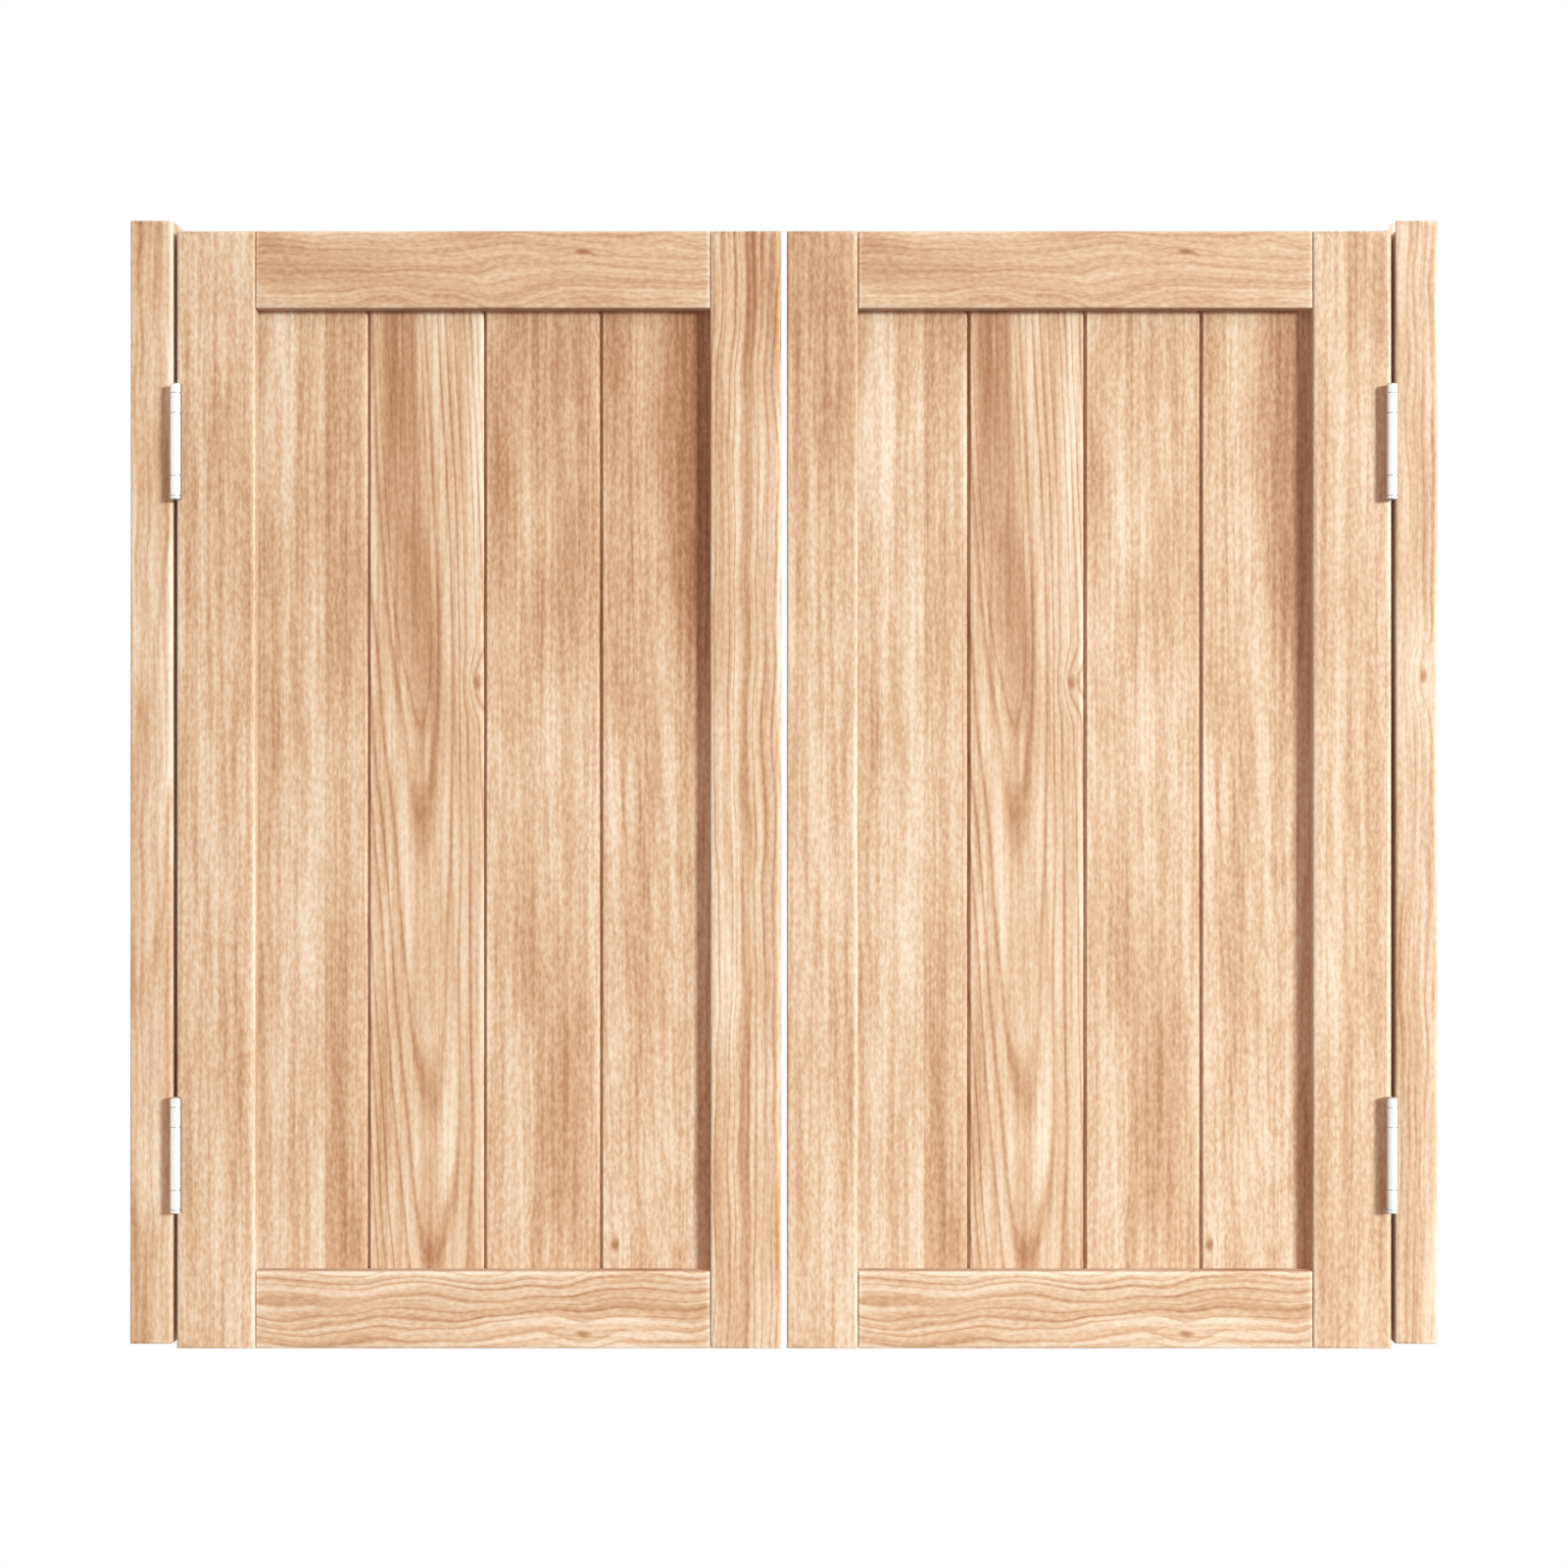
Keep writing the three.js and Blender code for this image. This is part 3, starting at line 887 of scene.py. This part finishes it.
# %% Layers of the grain
streak_size = (12, 420)
cloud_size = (42, 180)
line_size = (3.4, 120)
line_limits = (0.3, 0.6)
ring_middle = 0.72
heartwood = (13, 27)
heart_lines = 0.35
knot_wood = (1.2, 4.5)
knot_tone = -0.5


def either_way(amount):
    return -amount / 2, amount / 2


def streak_layers(tree, place, log, cut):
    """Streaks, clouds and fine lines."""
    return [
        (grain(tree, place, log, *streak_size, detail=3)["Fac"], (0, 1), either_way(cut["streaks"])),
        (grain(tree, place, log, *cloud_size)["Fac"], (0, 1), either_way(cut["clouds"])),
        (grain(tree, place, log, *line_size)["Fac"], line_limits, either_way(cut["lines"])),
    ]


def ring_layers(tree, place, log, cut):
    """Growth rings, heartwood, and a pin knot if the plank has one."""
    radius = distance_from_heart(tree, place, log, cut)
    layers = []
    if "knot" in cut:
        from_knot = distance_from_knot(tree, place, *cut["knot"])
        radius = swollen(tree, radius, from_knot)
        layers.append((from_knot, knot_wood, (knot_tone, 0)))
    clearness = add_node(tree, "ShaderNodeMapRange", {
        "Value": radius,
        "From Min": heartwood[0],
        "From Max": heartwood[1],
        "To Min": heart_lines,
    }).outputs["Result"]
    lines = add_node(tree, "ShaderNodeMix", {
        "Factor": clearness,
        "A": ring_middle,
        "B": ring_lines(tree, radius),
    }).outputs["Result"]
    dark_ring, pale_ring = -ring_middle * cut["rings"], (1 - ring_middle) * cut["rings"]
    layers.append((lines, (0, 1), (dark_ring, pale_ring)))
    layers.append((radius, heartwood, (-cut["heart"], 0)))
    return layers


# %% [markdown]
# Other layers follow the plank's own edges. A V joint gets a darker line, as oil would leave, which is also
# painted shade that dims the chamfer facing the lamp, with a strip of painted highlight beside it. The
# arrises of the frame get a painted highlight too, which also lightens those that face away from the lamp.
# One kind of plank has a dark stripe along it, and many darken towards their head.

# %% Layers of the edges
stripe_edge = 1.5
stripe_fade = 6
stripe_tone = -0.29
after_stripe = 0.19
# A V joint's darker line is partly painted shade, and the paler strip beside it and the arris lift are
# painted highlights.
joint_edge = 1
joint_oil_and_shade_tone = -0.12
joint_highlight_width = 5
joint_highlight_tone = 0.08
arris_highlight_tone = 0.14


def edge_layers(tree, place, cut):
    """A stripe, V joints with painted shade and a painted highlight, painted highlights on the arrises and
    shade towards the head, where the plank has them.
    """
    steps = add_node(tree, "ShaderNodeSeparateXYZ", {"Vector": place}).outputs
    layers = []
    if "stripe" in cut:
        start, end = cut["stripe"]
        layers.append((steps["X"], (start, start + stripe_edge), (0, stripe_tone)))
        layers.append((steps["X"], (end, end + stripe_fade), (0, after_stripe)))
    # A V joint: a darker line that is partly painted shade on the chamfer facing the lamp, with a strip of
    # painted highlight beside it.
    for edge, inward in cut.get("joints", []):
        inside = edge + inward * vee
        layers.append((steps["X"], (inside, inside + inward * joint_edge), (joint_oil_and_shade_tone, 0)))
        layers.append((steps["X"], (inside, inside + inward * joint_highlight_width), (joint_highlight_tone, 0)))
    # A painted highlight along each arris, which also lightens the arrises that face away from the lamp.
    for direction, edge, inward in cut.get("arrises", []):
        worn = (edge + inward * arris_width / 2, edge + inward * arris_width)
        layers.append((steps[direction], worn, (arris_highlight_tone, 0)))
    if "shade_up" in cut:
        start, end, depth = cut["shade_up"]
        layers.append((steps["Z"], (start, end), (0, -depth)))
    return layers


# %% [markdown]
# One colour ramp turns tone into oak. The pores are real hollows, so they alone make the bump, and
# they speckle the wood. Its oil shines a little more on pale, dense wood than on dark.

# %% Oiled oak
oak_colours = [
    (0, linear("#A6724B")),
    (0.3, linear("#C59672")),
    (0.6, linear("#E2BD99")),
    (0.88, linear("#F6E0C5")),
    (1, linear("#FCECD5")),
]
speckle_size = (2.6, 6)
speckle_limits = (0.32, 0.64)
pore_share = 0.65
pore_strength = 0.2
pore_depth = 0.4
oil_roughness = 0.62
pale_gloss = 0.12
oil_ior = 1.5


def oak_layers(tree, place, log, cut):
    """Each layer of a plank's tone: a value, its two limits, and the tones that they give."""
    run = wandering(tree, place, log, cut["wander"]) if "wander" in cut else place
    along_grain = streak_layers(tree, run, log, cut) + ring_layers(tree, run, log, cut)
    return along_grain + edge_layers(tree, place, cut)


def oiled_oak(solid, log, cut):
    """Oak for one plank, cut from a log in a given way."""
    material = bare_material(f"oiled_oak_{solid}")
    tree = material.node_tree
    place = plank_place(tree, solid, cut.get("lying", False))
    pores = grain(tree, place, log, *speckle_size, detail=2)["Fac"]
    tone = cut["tone"]
    dark_pores, pale_wood = -pore_share * cut["speckle"], (1 - pore_share) * cut["speckle"]
    speckle = (pores, speckle_limits, (dark_pores, pale_wood))
    for value, limits, tones in oak_layers(tree, place, log, cut) + [speckle]:
        layer = add_node(tree, "ShaderNodeMapRange", {
            "Value": value,
            "From Min": limits[0],
            "From Max": limits[1],
            "To Min": tones[0],
            "To Max": tones[1],
        }).outputs["Result"]
        tone = add_node(tree, "ShaderNodeMath", {0: layer, 1: tone}, operation="ADD").outputs["Value"]
    colour = add_node(tree, "ShaderNodeValToRGB", {"Fac": tone}, stops=oak_colours).outputs["Color"]
    sheen = add_node(tree, "ShaderNodeMath", {
        0: tone,
        1: -pale_gloss,
        2: oil_roughness,
    }, operation="MULTIPLY_ADD")
    relief = add_node(tree, "ShaderNodeBump", {
        "Height": pores,
        "Strength": pore_strength,
        "Distance": pore_depth * mm,
    }).outputs["Normal"]
    shader = add_node(tree, "ShaderNodeBsdfPrincipled", {
        "Base Color": colour,
        "Roughness": sheen.outputs["Value"],
        "Normal": relief,
        "IOR": oil_ior,
    })
    add_node(tree, "ShaderNodeOutputMaterial", {"Surface": shader.outputs["BSDF"]})
    return material


# %% [markdown]
# ## Satin steel and spring steel
# The hinges are rolled and turned from steel, brushed round the barrel and plated with satin nickel.
# Plated metal has no colour of its own beyond a warm white, so the finish is in its roughness: fine
# brush lines, too fine to show at true size, are drawn half a millimetre apart. The screws are plated
# with zinc, which is greyer. The closing springs are plain drawn wire, darker and oily.

# %% Satin steel and spring steel
brush_limits = (0.3, 0.7)
brush_shade = 0.86
brush_strength = 0.12
brush_depth = 0.05
roughness_spread = 0.22


def brushed_metal(name, hex_colour, roughness, spacing, length):
    """Metal brushed round the Z axis, with lines of a given spacing and length in millimetres."""
    material = bare_material(name)
    tree = material.node_tree
    stretched = add_node(tree, "ShaderNodeMapping", {
        "Vector": add_node(tree, "ShaderNodeTexCoord").outputs["Object"],
        "Scale": (1 / (length * mm), 1 / (length * mm), 1 / (spacing * mm)),
    }).outputs["Vector"]
    lines = add_node(tree, "ShaderNodeTexNoise", {
        "Vector": stretched,
        "Scale": 1,
        "Detail": 2,
    }).outputs["Fac"]
    rough = add_node(tree, "ShaderNodeMath", {
        0: lines,
        1: roughness_spread,
        2: roughness - roughness_spread / 2,
    }, operation="MULTIPLY_ADD").outputs[0]
    colour = linear(hex_colour)
    shaded = tuple(brush_shade * channel for channel in colour[:3]) + (1,)
    stops = list(zip(brush_limits, (shaded, colour)))
    tint = add_node(tree, "ShaderNodeValToRGB", {"Fac": lines}, stops=stops).outputs["Color"]
    relief = add_node(tree, "ShaderNodeBump", {
        "Height": lines,
        "Strength": brush_strength,
        "Distance": brush_depth * mm,
    }).outputs["Normal"]
    shader = add_node(tree, "ShaderNodeBsdfPrincipled", {
        "Base Color": tint,
        "Metallic": 1,
        "Roughness": rough,
        "Normal": relief,
    })
    add_node(tree, "ShaderNodeOutputMaterial", {"Surface": shader.outputs["BSDF"]})
    return material


satin_steel = brushed_metal("satin_nickel_plated_steel", "#FBFAF6", roughness=0.45, spacing=0.5, length=9)
screw_steel = brushed_metal("zinc_plated_screw_steel", "#A9AEB2", roughness=0.36, spacing=0.5, length=2)
spring_steel = brushed_metal("oiled_spring_wire", "#8A8D90", roughness=0.42, spacing=0.4, length=4)
print("metals:", [metal.name for metal in (satin_steel, screw_steel, spring_steel)])

# %% [markdown]
# ## Planks
# A joiner chooses planks by how they were sawn. Some show quiet speckle, one shows arches because the
# heart of the log lies just under its face, and some show the long lines of rings cut lengthwise.
# Both leaves here have nearly the same choice from left to right, as doors from one batch of boards
# do. The right-hand leaf is drawn a shade paler in tone.


# %% Edges of a plank
def joint_edges(solid, number, tongue_on_right):
    """A board's V-jointed edges, in millimetres across it, each with its direction inwards."""
    low, high = corners(solid)
    width = high.x - low.x
    edges = []
    if number > 1:
        edges.append((0, 1) if tongue_on_right else (width, -1))
    if number < board_count:
        edges.append((width - tongue_length, -1) if tongue_on_right else (tongue_length, 1))
    return edges


def arris_highlight_edges(solid):
    """The arrises that get a painted highlight: both edges of an upright, a rail's ends and panel edge."""
    low, high = corners(solid)
    span = high.x - low.x
    if "rail" not in solid:
        return [("X", 0, 1), ("X", span, -1)]
    panel_edge = ("X", rail_height, -1) if "bottom" in solid else ("X", 0, 1)
    return [panel_edge, ("Z", tenon_length, 1), ("Z", span - tenon_length, -1)]


# %% [markdown]
# A way to cut a plank says how pale it is, where the heart of its log lies from the plank's corner, in
# millimetres across and through it, how many degrees the heart leans, and how strongly each layer
# shows. A knot is placed across and along the plank, and a stripe by its two edges. A plank that lies
# down, as a rail does, has its grain along X.

# %% Ways to cut a plank
quiet = {
    "tone": 0.6,
    "pith": (-160, 120),
    "lean": 0.5,
    "rings": 0.06,
    "heart": 0,
    "streaks": 0.8,
    "clouds": 0.5,
    "lines": 0.2,
    "speckle": 0.24,
}
striped = {**quiet, "tone": 0.7, "stripe": (66, 85)}
arched = {
    **quiet,
    "pith": (66, 36),
    "lean": 2.9,
    "side_lean": 2.7,
    "rings": 0.42,
    "heart": 0.4,
    "speckle": 0.16,
    "knot": (96, 520),
}
clouded = {**quiet, "clouds": 0.8}
edge_hearted = {
    **quiet,
    "pith": (74, 64),
    "lean": 5.5,
    "rings": 0.12,
    "heart": 0.3,
    "knot": (13, 29),
}
lined = {
    **quiet,
    "pith": (-75, 50),
    "rings": 0.32,
    "clouds": 0.6,
    "lines": 0.24,
    "speckle": 0.18,
    "wander": 12,
}
left_jamb_cut = {**lined, "pith": (16, 30), "lean": 1.6, "rings": 0.2}
right_jamb_cut = {**lined, "pith": (-40, 20), "lean": 0.8, "rings": 0.2, "knot": (25, 580)}
lying = {**lined, "lying": True, "rings": 0.2, "wander": 36}
soft = {**lying, "rings": 0.12, "lines": 0.14, "streaks": 0.6}
top_rail_cut = {**soft, "tone": 0.54, "pith": (95, 16), "lean": 2.5, "knot": (48, 150)}
bottom_rail_cut = {**lying, "tone": 0.63, "pith": (-20, 10), "lean": -2, "knot": (10, 150), "rings": 0.32}
print("heart of the arched plank, in mm from its corner:", arched["pith"])

# %% [markdown]
# The planks of a leaf are listed from left to right. Those in the same place on both leaves come from
# the same log. A shade gives the heights in millimetres between which a plank darkens, and by how much.

# %% Choose the planks
# The right-hand leaf's planks are lifted to a slightly paler tone.
paler = 0.02
upper_half = (460, 620)
near_head = (740, 890)
even = (near_head, 0)
shades = {
    "left": [even, (upper_half, 0.1), even, (upper_half, 0.2), (upper_half, 0.12), (near_head, 0.12)],
    "right": [(near_head, 0.28), (near_head, 0.3), (near_head, 0.1), (upper_half, 0.08), even, even],
}
leaf_cuts = {
    "left": [quiet, striped, arched, clouded, edge_hearted, lined],
    "right": [quiet, striped, arched, clouded, edge_hearted, quiet],
}
boards = [f"panel_board_{number}" for number in range(1, board_count + 1)]
from_hinge = ["hinge_stile"] + boards + ["meeting_stile"]
left_jamb_log, right_jamb_log, top_rail_log, bottom_rail_log = 8, 9, 10, 11
plank_choice = {
    "left_jamb_post": (left_jamb_log, left_jamb_cut),
    "right_jamb_post": (right_jamb_log, right_jamb_cut),
}
for side_name, planks, lift in (("left", from_hinge, 0), ("right", from_hinge[::-1], paler)):
    choices = zip(planks, leaf_cuts[side_name], shades[side_name])
    for log, (plank, cut, (zone, depth)) in enumerate(choices):
        shaded = {**cut, "tone": cut["tone"] + lift, "shade_up": (*zone, depth)}
        plank_choice[f"{side_name}_{plank}"] = (log, shaded)
for side_name in sides:
    plank_choice[f"{side_name}_top_rail"] = (top_rail_log, top_rail_cut)
    plank_choice[f"{side_name}_bottom_rail"] = (bottom_rail_log, bottom_rail_cut)
    for number in range(1, board_count + 1):
        solid = f"{side_name}_panel_board_{number}"
        log, cut = plank_choice[solid]
        plank_choice[solid] = (log, {**cut, "joints": joint_edges(solid, number, side_name == "left")})
# Every frame plank gets a painted highlight along its arrises.
for solid, (log, cut) in plank_choice.items():
    if "board" not in solid:
        plank_choice[solid] = (log, {**cut, "arrises": arris_highlight_edges(solid)})
print(f"{len(plank_choice)} planks from {len({log for log, cut in plank_choice.values()})} logs")

# %% [markdown]
# ## Build the timber
# Each piece is drawn on the left, turned if it belongs on the right, and then stands for its CAD
# solid: it rides on the same body, and the solid is hidden.


# %% Build the timber
def finish_with(mesh, finish):
    mesh.materials.clear()
    mesh.materials.append(finish)


def stand_for(piece, node):
    """Let a piece stand for a CAD solid: it rides on the same body, and the solid is hidden."""
    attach(piece, frame["nodes"][node]["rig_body"])
    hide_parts(node)


def board_maker(number):
    return lambda name: panel_board(name, number)


timber_makers = {
    "jamb_post": jamb_post,
    "hinge_stile": hinge_stile,
    "meeting_stile": meeting_stile,
    "top_rail": top_rail,
    "bottom_rail": bottom_rail,
}
for number in range(1, board_count + 1):
    timber_makers[f"panel_board_{number}"] = board_maker(number)

for side_name, turn in sides.items():
    for kind, make in timber_makers.items():
        solid = f"{side_name}_{kind}"
        plank_piece = make(f"{solid}_plank")
        plank_piece.data.transform(turn)
        smooth(plank_piece.data)
        keep_flats(plank_piece)
        finish_with(plank_piece.data, oiled_oak(solid, *plank_choice[solid]))
        stand_for(plank_piece, solid)
print(f"{2 * len(timber_makers)} planks")

# %% [markdown]
# ## Build the hinges
# The four hinges are alike, so each form is made once and its mesh is shared. A hinge on the right is
# turned half round like the timber. The screws are fastened through each flange, with their cross
# recesses left at whatever angle the screwdriver stopped.

# %% Build the hinges
hinge_makers = {
    "jamb_flange": lambda name: flange(name, -1),
    "leaf_flange": lambda name: flange(name, 1),
    "center_web": center_web,
    "spindle": spindle,
    "tension_cap": tension_cap,
    "screw": wood_screw,
    "spring": closing_spring,
}
hinge_meshes = {}
for kind, make in hinge_makers.items():
    pattern = make(kind)
    smooth(pattern.data)
    finish_with(pattern.data, {"spring": spring_steel, "screw": screw_steel}.get(kind, satin_steel))
    hinge_meshes[kind] = pattern.data
    bpy.data.objects.remove(pattern)


def hinge_piece(name, kind, place):
    piece = bpy.data.objects.new(name, hinge_meshes[kind])
    bpy.context.scene.collection.objects.link(piece)
    piece.matrix_world = place
    return piece


def barrel_place(side):
    return Matrix.Translation(Vector((barrel_offset, side * barrel_reach, 0)) * mm)


screwdriver_angle = 0.7
screwdriver_stops = 0
for side_name, turn in sides.items():
    for level, height in hinge_heights.items():
        prefix = f"{side_name}_{level}"
        middle = turn @ Matrix.Translation(Vector((gap_middle, 0, height)) * mm)
        placed = {kind: (kind, middle) for kind in ("jamb_flange", "leaf_flange", "center_web")}
        for owner, side in (("jamb", -1), ("leaf", 1)):
            for kind in ("spindle", "tension_cap", "spring"):
                placed[f"{owner}_{kind}"] = (kind, middle @ barrel_place(side))
        for part, (kind, place) in placed.items():
            solid = f"{prefix}_{part}"
            piece = hinge_piece(f"{solid}_steel", kind, place)
            stand_for(piece, solid)
        for owner, side in (("jamb", -1), ("leaf", 1)):
            body = frame["nodes"][f"{prefix}_{owner}_flange"]["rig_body"]
            for number, hole in enumerate(screw_places(side), start=1):
                screwdriver_stops += 1
                seat = hole.copy()
                seat.translation *= mm
                stopped = Matrix.Rotation(screwdriver_stops * screwdriver_angle, 4, "Z")
                place = middle @ seat @ stopped
                piece = hinge_piece(f"{prefix}_{owner}_screw_{number}", "screw", place)
                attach(piece, body)
print(f"{len(hinge_meshes)} kinds of hinge piece, {screwdriver_stops} screws")

# %% [markdown]
# ## Camera
# The doors were photographed square-on from the middle of their height. A 50 mm lens at just under
# two metres gives the little perspective that shows, such as the inner side of the jamb's top.

# %% Camera
camera_distance = 1908
camera_height = 490
camera = bpy.data.objects.new("camera", bpy.data.cameras.new("camera"))
camera.data.lens = 50
camera.data.sensor_width = 36
camera.location = (0, -camera_distance * mm, camera_height * mm)
camera.rotation_euler = (math.pi / 2, 0, 0)
bpy.context.scene.collection.objects.link(camera)
bpy.context.scene.camera = camera
print("camera distance from the front face in mm:", round(camera_distance - half_thickness))

# %% [markdown]
# ## Light, background and floor
# Cool daylight comes from the right, a little above the doors, and throws the narrow shadow beside
# each right-hand stile. A second lamp behind the doors does the same for their back. Both are placed
# in metres, and their light doesn't bounce, so that the shadows get the light of the room alone.

# %% Lamps
lamp_direction = Vector((0.74, -0.64, 0.19)).normalized()
lamp_distance = 11
lamp_energy = 1290
lamp_size = 2
daylight = (0.86, 0.98, 1.0)
doors_middle = Vector((0, 0, camera_height * mm))
lamps = {"front_lamp": lamp_direction, "back_lamp": sides["right"] @ lamp_direction}
for lamp_name, direction in lamps.items():
    lamp = bpy.data.objects.new(lamp_name, bpy.data.lights.new(lamp_name, "AREA"))
    lamp.data.energy = lamp_energy
    lamp.data.size = lamp_size
    lamp.data.color = daylight
    lamp.data.cycles.max_bounces = 0
    lamp.location = doors_middle + direction * lamp_distance
    lamp.rotation_euler = direction.to_track_quat("Z", "Y").to_euler()
    bpy.context.scene.collection.objects.link(lamp)
print(f"{len(lamps)} lamps, {lamp_size} m wide and {lamp_distance} m from the doors")

# %% [markdown]
# The warm light of a room fills the shadows. There is none from straight below and twice the middle
# strength from straight above, and together with the daylight it is neutral. To the camera, and to
# rays that are mirrored or pass through, the world is plain white at a strength of 1. That whitens
# the background and leaves the light on the wood as it is.

# %% World
room_fill = 0.4
room_colour = (1, 0.72, 0.62, 1)
world = bpy.data.worlds.new("studio")
world.use_nodes = True
bpy.context.scene.world = world
sky = world.node_tree
sky.nodes.clear()
upward = add_node(sky, "ShaderNodeSeparateXYZ", {
    "Vector": add_node(sky, "ShaderNodeTexCoord").outputs["Generated"],
}).outputs["Z"]
from_above = add_node(sky, "ShaderNodeMath", {
    0: upward,
    1: room_fill,
    2: room_fill,
}, operation="MULTIPLY_ADD").outputs["Value"]
fill = add_node(sky, "ShaderNodeBackground", {"Color": room_colour, "Strength": from_above})
white = add_node(sky, "ShaderNodeBackground", {"Color": (1, 1, 1, 1), "Strength": 1})
rays = add_node(sky, "ShaderNodeLightPath").outputs
seen = add_node(sky, "ShaderNodeMath", {
    0: rays["Is Camera Ray"],
    1: rays["Is Glossy Ray"],
}, operation="MAXIMUM").outputs[0]
seen = add_node(sky, "ShaderNodeMath", {
    0: seen,
    1: rays["Is Transmission Ray"],
}, operation="MAXIMUM").outputs[0]
mixed = add_node(sky, "ShaderNodeMixShader", {
    0: seen,
    1: fill.outputs["Background"],
    2: white.outputs["Background"],
})
add_node(sky, "ShaderNodeOutputWorld", {"Surface": mixed.outputs["Shader"]})
bpy.context.scene.view_settings.view_transform = "Standard"
print(f"room light {room_fill} from the sides, {2 * room_fill} from above")

# %% [markdown]
# Cafe doors hang clear of the floor. It is a slab of pale plaster with a breath of blue, because the
# warm room light falls on it from above.

# %% Floor
floor_level = -600
floor_reach = 1100
floor_thickness = 20
slab_corner = (floor_reach, floor_reach, floor_level)
far_corner = (-floor_reach, -floor_reach, floor_level - floor_thickness)
floor = new_piece("floor", block(far_corner, slab_corner))
plaster = bpy.data.materials.new("pale_plaster")
plaster.use_nodes = True
matt = plaster.node_tree.nodes["Principled BSDF"].inputs
matt["Base Color"].default_value = linear("#E4EFF5")
matt["Roughness"].default_value = 0.9
floor.data.materials.append(plaster)
print("floor below the doors in mm:", -floor_level)
